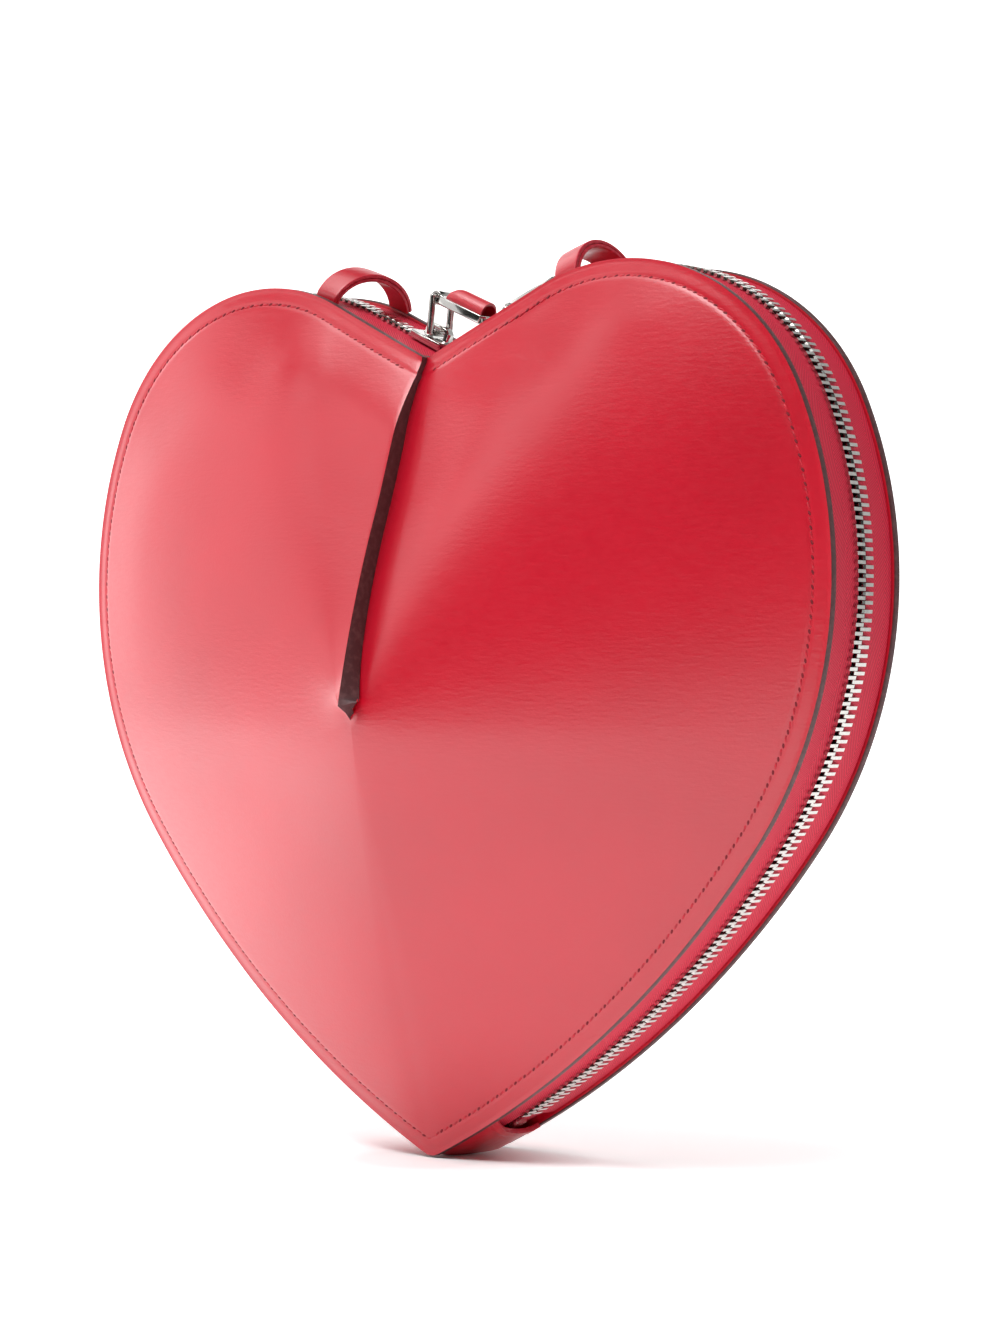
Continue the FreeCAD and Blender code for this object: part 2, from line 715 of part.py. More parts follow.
BACK = "sheet.gusset_depth / 2"
pieces = [
    flat_heart("back_panel", 0, BACK + " + sheet.leather_thickness", "sheet.leather_thickness"),
    flat_heart("back_lining", val("lining_margin"), BACK, "sheet.lining_thickness"),
    zip_tape("back_tape", False),
    chain_teeth("back_teeth", 1),
    chain_stops("chain_stops"),
    base_gusset("base_gusset"),
    dome_shell("front_panel", 1.0, 0, val("leather_thickness"), True),
    dome_shell("front_lining", val("lining_reach_share"), val("leather_thickness") + val("seat_gap"),
               val("lining_thickness"), False),
    zip_tape("front_tape", True),
    chain_teeth("front_teeth", -1),
]
for name, mirrored in (("left", True), ("right", False)):
    pieces.append(strap_tab("strap_tab_" + name, mirrored))
    pieces.append(slider_body("slider_" + name, mirrored))
    pieces.append(link_ring("pull_link_" + name, mirrored))
    pieces.append(pull_plate("pull_plate_" + name, mirrored))
    pieces.append(pull_inlay("pull_leather_" + name, mirrored))
doc.recompute()

# the origin stands under the middle of the purse, between the front panel's top and the back panel
by_name = {piece.Label: piece for piece in pieces}
front_most = by_name["front_panel"].Shape.optimalBoundingBox().YMin
back_most = by_name["back_panel"].Shape.BoundBox.YMax
shift = FreeCAD.Placement(Vector(0, -(front_most + back_most) / 2, 0), FreeCAD.Rotation())
for piece in pieces:
    piece.Placement = shift.multiply(piece.Placement)
doc.recompute()

for item in doc.Objects:
    if "Invalid" in item.State or "Error" in item.State:
        raise RuntimeError("%s failed: %s" % (item.Name, item.State))
for piece in pieces:
    if piece.Shape.isNull() or not piece.Shape.isValid():
        raise RuntimeError("%s has no valid shape" % piece.Label)

os.makedirs("parts", exist_ok=True)
for piece in pieces:
    piece.Shape.exportStep(os.path.join("parts", piece.Label + ".step"))
    box = piece.Shape.BoundBox
    print("%-20s solids %3d  volume %9.1f  x %7.1f %7.1f  y %6.1f %6.1f  z %6.1f %6.1f" % (
        piece.Label, len(piece.Shape.Solids), piece.Shape.Volume, box.XMin, box.XMax, box.YMin, box.YMax,
        box.ZMin, box.ZMax))
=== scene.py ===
"""Heart shaped leather purse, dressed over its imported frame. Sizes are in millimetres unless stated."""

import json
import logging
import math
from dataclasses import dataclass
from enum import Enum
from typing import Callable, Sequence

import bpy
import numpy as np
from mathutils import Matrix, Vector

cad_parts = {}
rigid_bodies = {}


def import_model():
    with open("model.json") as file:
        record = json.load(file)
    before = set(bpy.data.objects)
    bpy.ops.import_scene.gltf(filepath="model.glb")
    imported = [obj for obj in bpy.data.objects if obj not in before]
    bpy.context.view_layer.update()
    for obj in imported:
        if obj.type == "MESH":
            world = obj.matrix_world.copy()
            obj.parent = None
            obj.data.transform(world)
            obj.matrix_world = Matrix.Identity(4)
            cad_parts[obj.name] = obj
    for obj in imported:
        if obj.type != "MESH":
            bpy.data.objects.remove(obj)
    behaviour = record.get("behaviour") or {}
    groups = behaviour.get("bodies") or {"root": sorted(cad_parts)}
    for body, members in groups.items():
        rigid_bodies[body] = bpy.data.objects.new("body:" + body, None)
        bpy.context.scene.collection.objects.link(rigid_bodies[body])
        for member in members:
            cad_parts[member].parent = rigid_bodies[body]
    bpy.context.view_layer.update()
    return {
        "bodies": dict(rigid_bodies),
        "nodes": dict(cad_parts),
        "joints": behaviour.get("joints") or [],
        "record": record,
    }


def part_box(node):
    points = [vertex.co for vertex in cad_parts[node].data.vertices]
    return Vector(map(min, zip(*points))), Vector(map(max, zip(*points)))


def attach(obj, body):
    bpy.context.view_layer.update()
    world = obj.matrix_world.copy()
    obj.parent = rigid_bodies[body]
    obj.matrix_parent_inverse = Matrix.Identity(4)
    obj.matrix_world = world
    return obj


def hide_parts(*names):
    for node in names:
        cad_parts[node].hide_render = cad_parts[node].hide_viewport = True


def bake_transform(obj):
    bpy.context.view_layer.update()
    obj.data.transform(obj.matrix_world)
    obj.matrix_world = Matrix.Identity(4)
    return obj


MM = 0.001
LOG = logging.getLogger("purse")
TINY = 1e-9
# points of a sheet or of a metal piece that are closer than this become one
SHEET_WELD = 0.01
METAL_WELD = 0.001
Place = Callable[[np.ndarray, np.ndarray], np.ndarray]
Span = tuple[float, float]
Value = bpy.types.NodeSocket | float


class Face(Enum):
    """The front and the back half, with their direction along Y."""

    FRONT = -1
    BACK = 1


class Hand(Enum):
    """The left and the right side of the notch, with their direction along X."""

    LEFT = -1
    RIGHT = 1


def linear(code: str) -> tuple[float, float, float, float]:
    """Turns an sRGB hex colour into a linear one.

    Args:
        code: The colour as #rrggbb.
    Returns:
        Red, green, blue and alpha.
    """
    channels = [int(code[place:place + 2], 16) / 255 for place in (1, 3, 5)]
    bright = [c / 12.92 if c <= 0.04045 else ((c + 0.055) / 1.055) ** 2.4 for c in channels]
    return bright[0], bright[1], bright[2], 1.0


def add_node(tree: bpy.types.NodeTree, kind: str, links: dict | None = None, **settings) -> bpy.types.Node:
    """Adds a shader node with its settings and links.

    Args:
        tree: The material's node tree.
        kind: The node's type without its prefix.
        links: Output sockets or plain values by input name or number.
        settings: The node's own properties.
    Returns:
        The new node.
    """
    node = tree.nodes.new("ShaderNode" + kind)
    for name, value in settings.items():
        setattr(node, name, value)
    for socket, source in (links or {}).items():
        if isinstance(source, bpy.types.NodeSocket):
            tree.links.new(source, node.inputs[socket])
        else:
            node.inputs[socket].default_value = source
    return node


def new_material(name: str) -> tuple[bpy.types.Material, bpy.types.NodeTree, bpy.types.Node]:
    """Makes an empty material with a principled shader.

    Args:
        name: What the material is in real life.
    Returns:
        The material, its tree and its shader.
    """
    material = bpy.data.materials.new(name)
    material.use_nodes = True
    tree = material.node_tree
    return material, tree, tree.nodes["Principled BSDF"]


def object_place(tree: bpy.types.NodeTree) -> bpy.types.NodeSocket:
    """Gives the place on the object, in metres."""
    return add_node(tree, "TexCoord").outputs["Object"]


def calculate(tree: bpy.types.NodeTree, operation: str, *values: Value) -> bpy.types.NodeSocket:
    """Adds a math node for sockets or plain values and gives its result."""
    return add_node(tree, "Math", dict(enumerate(values)), operation=operation).outputs[0]


def ramp(tree: bpy.types.NodeTree, value: Value, span: Span, ends: Span = (0.0, 1.0)) -> bpy.types.NodeSocket:
    """Maps a value's span to two end values and holds it beyond them."""
    links = {0: value, 1: span[0], 2: span[1], 3: ends[0], 4: ends[1]}
    return add_node(tree, "MapRange", links).outputs[0]


def mix_colour(tree: bpy.types.NodeTree, shader: bpy.types.Node, share: Value, first: str,
               second: str) -> None:
    """Colours a shader between two hex colours.

    Args:
        tree: The material's node tree.
        shader: Its principled shader.
        share: The second colour's share.
        first: The colour where the share is 0.
        second: The colour where the share is 1.
    """
    colour = add_node(tree, "Mix", {0: share, 6: linear(first), 7: linear(second)}, data_type="RGBA")
    tree.links.new(colour.outputs[2], shader.inputs["Base Color"])


def raise_relief(tree: bpy.types.NodeTree, shader: bpy.types.Node, height: Value, strength: float,
                 depth: float) -> None:
    """Lays a relief over any that the shader already has.

    Args:
        tree: The material's node tree.
        shader: Its principled shader.
        height: The relief's height from 0 to 1.
        strength: Share of the relief that shows.
        depth: Its depth.
    """
    links = {"Height": height, "Strength": strength, "Distance": depth * MM}
    links |= {"Normal": link.from_socket for link in shader.inputs["Normal"].links}
    tree.links.new(add_node(tree, "Bump", links).outputs[0], shader.inputs["Normal"])


@dataclass(frozen=True)
class BoardedCalf:
    """Calf leather, dyed and boarded: fine creases run across it, and it has a soft, even shine."""

    colour: str = "#c60b27"
    deep: str = "#ba0923"
    crease_spacing: float = 0.8
    crease_length: float = 3.4
    crease_depth: float = 0.1
    pores_per_mm: float = 1.4
    pore_depth: float = 0.1
    patches_per_metre: float = 18.0
    roughness: float = 0.3
    # the smoothest leather stays rougher than 0.28, below which the denoiser leaves dark specks
    roughness_spread: Span = (0.05, -0.015)
    gloss: float = 0.92

    def make(self) -> bpy.types.Material:
        """Builds the material.

        Returns:
            The material with its nodes.
        """
        material, tree, shader = new_material("boarded_calf_leather")
        place = object_place(tree)
        fine, long = 1 / (self.crease_spacing * MM), 1 / (self.crease_length * MM)
        turned = add_node(tree, "Mapping", {"Vector": place, "Scale": (long, long, fine)})
        crease = add_node(tree, "TexNoise", {"Vector": turned.outputs[0], "Scale": 1.0, "Detail": 2.0})
        pores = add_node(tree, "TexNoise", {"Vector": place, "Scale": self.pores_per_mm / MM, "Detail": 2.0})
        broad = add_node(tree, "TexNoise", {"Vector": place, "Scale": self.patches_per_metre, "Detail": 3.0})
        mix_colour(tree, shader, ramp(tree, broad.outputs[0], (0.3, 0.7)), self.deep, self.colour)
        low, high = (self.roughness + spread for spread in self.roughness_spread)
        tree.links.new(ramp(tree, crease.outputs[0], (0.25, 0.75), (low, high)), shader.inputs["Roughness"])
        raise_relief(tree, shader, crease.outputs[0], 0.4, self.crease_depth)
        raise_relief(tree, shader, pores.outputs[0], 0.2, self.pore_depth)
        shader.inputs["Specular IOR Level"].default_value = self.gloss
        return material


@dataclass(frozen=True)
class EdgePaint:
    """Edge dye over the cut leather: a smooth, slightly uneven coat, dark burgundy on the panels."""

    name: str = "painted_leather_edge"
    colour: str = "#4c2a2c"
    worn: str = "#603c3d"
    lump: float = 1.6
    lump_depth: float = 0.2
    roughness: float = 0.45
    gloss: float = 0.3

    def make(self) -> bpy.types.Material:
        """Builds the material.

        Returns:
            The material with its nodes.
        """
        material, tree, shader = new_material(self.name)
        place = object_place(tree)
        lumps = add_node(tree, "TexNoise", {"Vector": place, "Scale": 1 / (self.lump * MM), "Detail": 3.0})
        mix_colour(tree, shader, ramp(tree, lumps.outputs[0], (0.45, 0.75)), self.colour, self.worn)
        raise_relief(tree, shader, lumps.outputs[0], 0.2, self.lump_depth)
        shader.inputs["Roughness"].default_value = self.roughness
        shader.inputs["Specular IOR Level"].default_value = self.gloss
        return material


@dataclass(frozen=True)
class WaxedThread:
    """Waxed polyester thread in the leather's own red, its plies twisted round each other."""

    colour: str = "#c40d28"
    # colour of the painted shade in the grooves between the plies
    groove: str = "#a80b22"
    ply: float = 0.45
    ply_depth: float = 0.1
    roughness: float = 0.5

    def make(self) -> bpy.types.Material:
        """Builds the material.

        Returns:
            The material with its nodes.
        """
        material, tree, shader = new_material("waxed_polyester_thread")
        place = object_place(tree)
        links = {"Vector": place, "Scale": 0.1 / (self.ply * MM), "Distortion": 2.0}
        plies = add_node(tree, "TexWave", links, bands_direction="DIAGONAL").outputs["Fac"]
        # the grooves between the plies are painted darker: painted shade
        mix_colour(tree, shader, plies, self.groove, self.colour)
        raise_relief(tree, shader, plies, 0.4, self.ply_depth)
        shader.inputs["Roughness"].default_value = self.roughness
        return material


@dataclass(frozen=True)
class NeedleHole:
    """Punched needle hole: raw leather in shadow, dark and dull."""

    colour: str = "#8a0f20"
    deep: str = "#5a0a16"
    speck: float = 0.3
    roughness: float = 0.8

    def make(self) -> bpy.types.Material:
        """Builds the material.

        Returns:
            The material with its nodes.
        """
        material, tree, shader = new_material("punched_needle_hole")
        place = object_place(tree)
        specks = add_node(tree, "TexNoise", {"Vector": place, "Scale": 1 / (self.speck * MM)})
        mix_colour(tree, shader, specks.outputs[0], self.deep, self.colour)
        shader.inputs["Roughness"].default_value = self.roughness
        return material


@dataclass(frozen=True)
class HerringboneTape:
    """Woven polyester zip tape: a herringbone twill whose ribs turn back every few millimetres."""

    colour: str = "#dc1c40"
    shade: str = "#a40f2a"
    # the real ribs are about 0.6 mm apart, and are drawn a little coarser so that they show
    rib: float = 1.05
    band: float = 4.2
    steepness: float = 1.5
    thread: float = 0.6
    thread_share: float = 0.35
    depth: float = 0.1
    roughness: float = 0.65

    def make(self) -> bpy.types.Material:
        """Builds the material.

        Returns:
            The material with its nodes.
        """
        material, tree, shader = new_material("herringbone_zip_tape")
        along, across = add_node(tree, "SeparateXYZ", {0: add_node(tree, "UVMap").outputs[0]}).outputs[:2]
        zigzag = calculate(tree, "PINGPONG", across, self.band * MM)
        way = calculate(tree, "MULTIPLY_ADD", zigzag, self.steepness, along)
        turns = (calculate(tree, "MULTIPLY", distance, 2 * math.pi / (pitch * MM))
                 for distance, pitch in ((way, self.rib), (across, self.thread)))
        rib, pick = (calculate(tree, "SINE", turn) for turn in turns)
        weave = calculate(tree, "MULTIPLY_ADD", pick, self.thread_share, rib)
        mix_colour(tree, shader, ramp(tree, weave, (-1.2, 1.0)), self.shade, self.colour)
        raise_relief(tree, shader, weave, 0.3, self.depth)
        shader.inputs["Roughness"].default_value = self.roughness
        return material


@dataclass(frozen=True)
class TwillLining:
    """Cotton twill lining: fine diagonal ribs, matt."""

    colour: str = "#8e1527"
    shade: str = "#5f0c18"
    # the real ribs are about 0.5 mm apart, and are drawn coarser so that they show
    rib: float = 1.0
    depth: float = 0.1
    roughness: float = 0.85

    def make(self) -> bpy.types.Material:
        """Builds the material.

        Returns:
            The material with its nodes.
        """
        material, tree, shader = new_material("cotton_twill_lining")
        place = object_place(tree)
        links = {"Vector": place, "Scale": 0.3 / (self.rib * MM), "Distortion": 0.6, "Detail": 2.0}
        ribs = add_node(tree, "TexWave", links, bands_direction="DIAGONAL").outputs["Fac"]
        mix_colour(tree, shader, ribs, self.shade, self.colour)
        raise_relief(tree, shader, ribs, 0.3, self.depth)
        shader.inputs["Roughness"].default_value = self.roughness
        return material


@dataclass(frozen=True)
class Nickel:
    """Nickel plate on brass: bright and mirror-like, with faint wiping marks."""

    name: str = "polished_nickel_plate"
    colour: str = "#d6d4d1"
    roughness: float = 0.13
    mark: float = 2.5
    dull: str = "#bdbab6"
    roughness_spread: Span = (-0.04, 0.08)

    def make(self) -> bpy.types.Material:
        """Builds the material.

        Returns:
            The material with its nodes.
        """
        material, tree, shader = new_material(self.name)
        place = object_place(tree)
        marks = add_node(tree, "TexNoise", {"Vector": place, "Scale": 1 / (self.mark * MM), "Detail": 4.0})
        low, high = (self.roughness + spread for spread in self.roughness_spread)
        tree.links.new(ramp(tree, marks.outputs[0], (0.35, 0.7), (low, high)), shader.inputs["Roughness"])
        mix_colour(tree, shader, marks.outputs[0], self.dull, self.colour)
        shader.inputs["Metallic"].default_value = 1.0
        return material


@dataclass(frozen=True)
class FloorPaper:
    """Seamless studio paper, white and matt, that ends in a grey room behind the camera: the grey is painted
    shade, and the paper's glow is painted light.
    """

    colour: str = "#f4f4f4"
    room: str = "#5c5c5c"
    # strengths of the painted glow: on the far sweep, behind the purse, on the floor near it and more to its
    # left
    glow: float = 0.2
    backing: float = 0.85
    table: float = 0.5
    painted_left_glow: float = 0.9
    roughness: float = 0.9
    fibres_per_metre: float = 400.0
    fibre_depth: float = 0.2
    # the camera's direction along the floor, and its distance in metres
    view: Span = (-0.629, 0.777)
    eye: float = 0.9
    # spans in metres over which each painted glow, the painted contact shadow and the painted room shade come
    # up or fade
    glow_span: Span = (0.25, 1.2)
    backing_span: Span = (0.2, 1.0)
    painted_floor_glow_span: Span = (0.7, 1.3)
    painted_left_glow_span: Span = (-0.05, -0.3)
    painted_contact_shadow_span: Span = (0.015, 0.045)
    painted_room_shade_span: Span = (-1.0, -0.4)
    # the edge of the painted glow behind the purse, as a share of the distance from the camera
    backing_edge: Span = (0.2, 0.3)

    def make(self) -> bpy.types.Material:
        """Builds the material.

        Returns:
            The material with its nodes.
        """
        material, tree, shader = new_material("seamless_paper")
        place = object_place(tree)
        fibre = add_node(tree, "TexNoise", {"Vector": place, "Scale": self.fibres_per_metre, "Detail": 2.0})
        raise_relief(tree, shader, fibre.outputs[0], 0.05, self.fibre_depth)
        # the sweep glows with painted light, not a lamp, most of all where it stands behind the purse as the
        # camera sees it
        left, depth = add_node(tree, "SeparateXYZ", {0: place}).outputs[:2]
        lit = ramp(tree, depth, self.glow_span, (0.0, self.glow))
        view_x, view_y = self.view
        axes = (view_x, view_y, 0.0), (view_y, -view_x, 0.0)
        dots = [add_node(tree, "VectorMath", {0: place, 1: axis}, operation="DOT_PRODUCT") for axis in axes]
        away, aside = (dot.outputs["Value"] for dot in dots)
        beyond = calculate(tree, "ADD", away, self.eye)
        offset = calculate(tree, "DIVIDE", calculate(tree, "ABSOLUTE", aside), beyond)
        inside = ramp(tree, offset, self.backing_edge, (1.0, 0.0))
        behind = ramp(tree, away, self.backing_span, (0.0, self.backing))
        backdrop = calculate(tree, "MULTIPLY_ADD", inside, behind, lit)
        # the floor glows with painted light, stronger to the left, and the glow fades out where the purse
        # stands, which leaves a painted contact shadow
        reach = add_node(tree, "VectorMath", {0: place}, operation="LENGTH").outputs["Value"]
        close = ramp(tree, reach, self.painted_floor_glow_span, (1.0, 0.0))
        level = ramp(tree, left, self.painted_left_glow_span, (self.table, self.table + self.painted_left_glow))
        painted_floor_glow = calculate(tree, "MULTIPLY", calculate(tree, "MULTIPLY", close, level),
                          ramp(tree, reach, self.painted_contact_shadow_span))
        tree.links.new(calculate(tree, "ADD", backdrop, painted_floor_glow), shader.inputs["Emission Strength"])
        # the sweep turns grey on the camera's side: painted shade that stands for the dim room there
        mix_colour(tree, shader, ramp(tree, depth, self.painted_room_shade_span), self.room, self.colour)
        shader.inputs["Roughness"].default_value = self.roughness
        shader.inputs["Emission Color"].default_value = linear("#ffffff")
        return material


@dataclass
class Finishes:
    """The built materials, one of each."""

    leather: bpy.types.Material
    edge: bpy.types.Material
    red_edge: bpy.types.Material
    thread: bpy.types.Material
    hole: bpy.types.Material
    tape: bpy.types.Material
    lining: bpy.types.Material
    hardware: bpy.types.Material
    teeth: bpy.types.Material

    @classmethod
    def make(cls) -> "Finishes":
        """Builds every finish of the purse."""
        teeth = Nickel("polished_nickel_teeth", "#dedcd8", 0.2, 1.2)
        red_edge = EdgePaint("dyed_strap_edge", "#b8162e", "#cf3a4c")
        return cls(BoardedCalf().make(), EdgePaint().make(), red_edge.make(), WaxedThread().make(),
                   NeedleHole().make(), HerringboneTape().make(), TwillLining().make(), Nickel().make(),
                   teeth.make())


def smooth(value: np.ndarray, low: float, high: float) -> np.ndarray:
    """Eases a value from 0 at low to 1 at high."""
    share = np.clip((value - low) / (high - low), 0, 1)
    return share * share * (3 - 2 * share)


def select_only(piece: bpy.types.Object) -> None:
    """Makes one object the only selected and active one.

    Args:
        piece: The object.
    """
    bpy.ops.object.select_all(action="DESELECT")
    piece.select_set(True)
    bpy.context.view_layer.objects.active = piece


def running(steps: np.ndarray) -> np.ndarray:
    """Adds up steps into distances from the first point."""
    return np.concatenate([[0.0], np.cumsum(steps)])


def join(pieces: Sequence[bpy.types.Object]) -> bpy.types.Object:
    """Joins pieces into the first one.

    Args:
        pieces: The pieces, dressed in their materials.
    Returns:
        The first piece, which now holds them all.
    """
    select_only(pieces[0])
    for piece in pieces:
        piece.select_set(True)
    bpy.ops.object.join()
    return pieces[0]


def dress(piece: bpy.types.Object, materials: Sequence[bpy.types.Material]) -> None:
    """Gives an object its materials, in the order of its slots."""
    piece.data.materials.clear()
    for material in materials:
        piece.data.materials.append(material)


def finish_mesh(piece: bpy.types.Object, angle: float = 40.0) -> None:
    """Shades a piece smooth up to an angle in degrees."""
    select_only(piece)
    bpy.ops.object.shade_smooth_by_angle(angle=math.radians(angle))


def apply_all(piece: bpy.types.Object) -> None:
    """Applies a piece's modifiers in order."""
    select_only(piece)
    for modifier in list(piece.modifiers):
        bpy.ops.object.modifier_apply(modifier=modifier.name)


def sheet(name: str, columns: int, rows: int, place: Place, facing: Vector) -> bpy.types.Object:
    """Shapes a grid into a curved sheet.

    Args:
        name: The piece's name.
        columns: Cells along the sheet.
        rows: Cells across it.
        place: Gives points in millimetres from shares along and across.
        facing: A direction that the sheet's outer face looks towards on the whole.
    Returns:
        The sheet, with doubles merged.
    """
    bpy.ops.object.select_all(action="DESELECT")
    bpy.ops.mesh.primitive_grid_add(x_subdivisions=columns, y_subdivisions=rows, size=1.0)
    piece = bpy.context.object
    piece.name = name
    flat = np.zeros(len(piece.data.vertices) * 3)
    piece.data.vertices.foreach_get("co", flat)
    shares = np.clip(flat.reshape(-1, 3) + 0.5, 0, 1)
    points = place(shares[:, 0], shares[:, 1])
    piece.data.vertices.foreach_set("co", (points * MM).ravel())
    piece.data.update()
    normals = np.zeros(len(piece.data.polygons) * 3)
    piece.data.polygons.foreach_get("normal", normals)
    select_only(piece)
    bpy.ops.object.mode_set(mode="EDIT")
    bpy.ops.mesh.select_all(action="SELECT")
    if normals.reshape(-1, 3).sum(axis=0) @ np.array(facing) < 0:
        bpy.ops.mesh.flip_normals()
    bpy.ops.mesh.remove_doubles(threshold=SHEET_WELD * MM)
    bpy.ops.object.mode_set(mode="OBJECT")
    return piece


def set_lengths(piece: bpy.types.Object, columns: np.ndarray, rows: np.ndarray) -> None:
    """Turns a grid's even texture map into real lengths in metres.

    Args:
        piece: A sheet whose texture map still runs from 0 to 1.
        columns: Length along the sheet at evenly spaced shares.
        rows: Length across it at evenly spaced shares.
    """
    layer = piece.data.uv_layers.active.data
    flat = np.zeros(len(layer) * 2)
    layer.foreach_get("uv", flat)
    shares = flat.reshape(-1, 2)
    lengths = [np.interp(shares[:, axis], np.linspace(0, 1, len(table)), table * MM)
               for axis, table in enumerate((columns, rows))]
    layer.foreach_set("uv", np.stack(lengths, axis=1).ravel())


def thicken(piece: bpy.types.Object, thickness: float, bevel: float, group: str = "") -> None:
    """Gives a sheet its thickness behind its outer face, with a painted rim and rounded corners.

    Args:
        piece: The sheet.
        thickness: Thickness at full weight.
        bevel: Width of the rounded corners, or 0 for none.
        group: A vertex group with the share of the thickness at each point.
    """
    wall = piece.modifiers.new("wall", "SOLIDIFY")
    wall.thickness = thickness * MM
    wall.offset = -1.0
    wall.use_even_offset = not group
    wall.material_offset_rim = 1
    wall.vertex_group = group
    if bevel:
        corner = piece.modifiers.new("corner", "BEVEL")
        corner.width = bevel * MM
        corner.segments = 3
        corner.limit_method = "ANGLE"
        corner.angle_limit = math.radians(50)
        corner.material = 1
    apply_all(piece)


def bevelled_copy(frame: dict, node: str, name: str, width: float) -> bpy.types.Object:
    """Copies a metal node and rounds its sharp corners.

    Args:
        frame: The loaded frame.
        node: The node to copy.
        name: The new piece's name.
        width: Width of the rounding.
    Returns:
        The new piece.
    """
    piece = bpy.data.objects.new(name, frame["nodes"][node].data.copy())
    bpy.context.scene.collection.objects.link(piece)
    select_only(piece)
    bpy.ops.object.mode_set(mode="EDIT")
    bpy.ops.mesh.select_all(action="SELECT")
    bpy.ops.mesh.remove_doubles(threshold=METAL_WELD * MM)
    bpy.ops.mesh.dissolve_limited(angle_limit=math.radians(1))
    bpy.ops.object.mode_set(mode="OBJECT")
    corner = piece.modifiers.new("corner", "BEVEL")
    corner.width = width * MM
    corner.segments = 2
    corner.limit_method = "ANGLE"
    corner.angle_limit = math.radians(30)
    apply_all(piece)
    finish_mesh(piece, 35)
    return piece


def settle(piece: bpy.types.Object, body: str, node: str) -> None:
    """Lets a piece ride on its body and stand for its node, and reports it.

    Args:
        piece: The finished piece.
        body: The body that it rides on.
        node: The node that it stands for, or nothing.
    """
    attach(piece, body)
    if node:
        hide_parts(node)
    LOG.info("%s: %d faces on %s", piece.name, len(piece.data.polygons), body)


@dataclass(frozen=True)
class HalfPath:
    """Points along the right half of an outline, from the notch down, mirrored for the left half."""

    distance: np.ndarray
    x: np.ndarray
    z: np.ndarray
    angle: np.ndarray

    @property
    def length(self) -> float:
        """Length of the half."""
        return float(self.distance[-1])

    def at(self, signed: np.ndarray) -> tuple[np.ndarray, np.ndarray, np.ndarray, np.ndarray]:
        """Finds points at distances from the notch.

        Args:
            signed: Distances, negative on the left half.
        Returns:
            X and Z of the points, and X and Z of the outward normals.
        """
        side = np.where(signed < 0, -1.0, 1.0)
        way = np.abs(signed)
        x, z, angle = (np.interp(way, self.distance, values) for values in (self.x, self.z, self.angle))
        return side * x, z, side * np.cos(angle), np.sin(angle)

    def around(self, way: np.ndarray) -> np.ndarray:
        """Turns distances right round the heart into distances that are negative on the left half."""
        return np.where(way <= self.length, way, way - 2 * self.length)


@dataclass(frozen=True)
class HeartOutline:
    """The heart in the XZ plane: a flank, a lobe, a shoulder and a side arc on each half."""

    height: float = 220.0
    lobe_centre_x: float = 57.0
    lobe_radius: float = 57.0
    lobe_end_angle: float = 24.0
    shoulder_radius: float = 106.0
    shoulder_end_angle: float = -37.0
    notch_height: float = 199.0
    tip_radius: float = 4.5
    samples: int = 600

    def half(self, inset: float = 0.0, short: float = 0.0) -> HalfPath:
        """Traces the right half.

        Args:
            inset: How far inside the outline the path runs.
            short: How far from the tip it ends, measured on the outline.
        Returns:
            The path from the notch down.
        """
        def facing(angle: float) -> np.ndarray:
            """Gives the unit vector at an angle."""
            return np.array([math.cos(angle), math.sin(angle)])

        lobe = np.array([self.lobe_centre_x, self.height - self.lobe_radius])
        ends = math.radians(self.lobe_end_angle), math.radians(self.shoulder_end_angle)
        shoulder = lobe + (self.lobe_radius - self.shoulder_radius) * facing(ends[0])
        out, bend = facing(ends[1]), self.shoulder_radius
        reach = (shoulder @ shoulder - bend ** 2) / 2 / (shoulder @ out + bend)
        side, side_radius = shoulder - out * reach, reach + bend
        way = np.array([0.0, self.notch_height]) - lobe
        start = math.atan2(way[1], way[0]) - math.acos(self.lobe_radius / np.hypot(way[0], way[1]))
        blunt = max(self.tip_radius - inset, 0.0)
        # the tip's arc is drawn about a point on the middle line, inside the side arc
        tip = side[1] - math.sqrt((side_radius - inset - blunt) ** 2 - side[0] ** 2)
        last = math.atan2(tip - side[1], -side[0])
        if short:
            sharp = side[1] - math.sqrt(side_radius ** 2 - side[0] ** 2)
            last = math.atan2(sharp - side[1], -side[0]) + short / side_radius
        notch = np.array([0.0, self.notch_height - inset / math.cos(start - math.pi / 2)])
        foot = lobe + (self.lobe_radius - inset) * facing(start)
        shares = np.linspace(0, 1, self.samples)
        points = [notch + np.outer(shares, foot - notch)]
        angles = [np.full(self.samples, start)]
        arcs = [(lobe, self.lobe_radius, start, ends[0]), (shoulder, self.shoulder_radius, ends[0], ends[1]),
                (side, side_radius, ends[1], last)]
        if blunt and not short:
            arcs.append((np.array([0.0, tip]), self.tip_radius, last, -math.pi / 2))
        for centre, radius, first, final in arcs:
            turn = first + (final - first) * shares[1:]
            points.append(centre + (radius - inset) * np.stack([np.cos(turn), np.sin(turn)], axis=1))
            angles.append(turn)
        line = np.concatenate(points)
        steps = np.hypot(*np.diff(line, axis=0).T)
        return HalfPath(running(steps), line[:, 0], line[:, 1], np.concatenate(angles))


@dataclass(frozen=True)
class Build:
    """Places along Y that the panels and the gusset share, worked out from the frame."""

    middle: float
    gusset_depth: float = 25.0
    leather: float = 2.0

    @classmethod
    def read(cls) -> "Build":
        """Reads the middle plane from the back panel's outer face."""
        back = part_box("back_panel")[1].y / MM
        return cls(middle=back - cls.gusset_depth / 2 - cls.leather)

    @property
    def gusset_front(self) -> float:
        """Front edge of the gusset."""
        return self.middle - self.gusset_depth / 2

    @property
    def gusset_back(self) -> float:
        """Back edge of the gusset."""
        return self.middle + self.gusset_depth / 2

    @property
    def front_face(self) -> float:
        """Outer face of the front panel's rim."""
        return self.gusset_front - self.leather

    @property
    def back_face(self) -> float:
        """Outer face of the back panel."""
        return self.gusset_back + self.leather


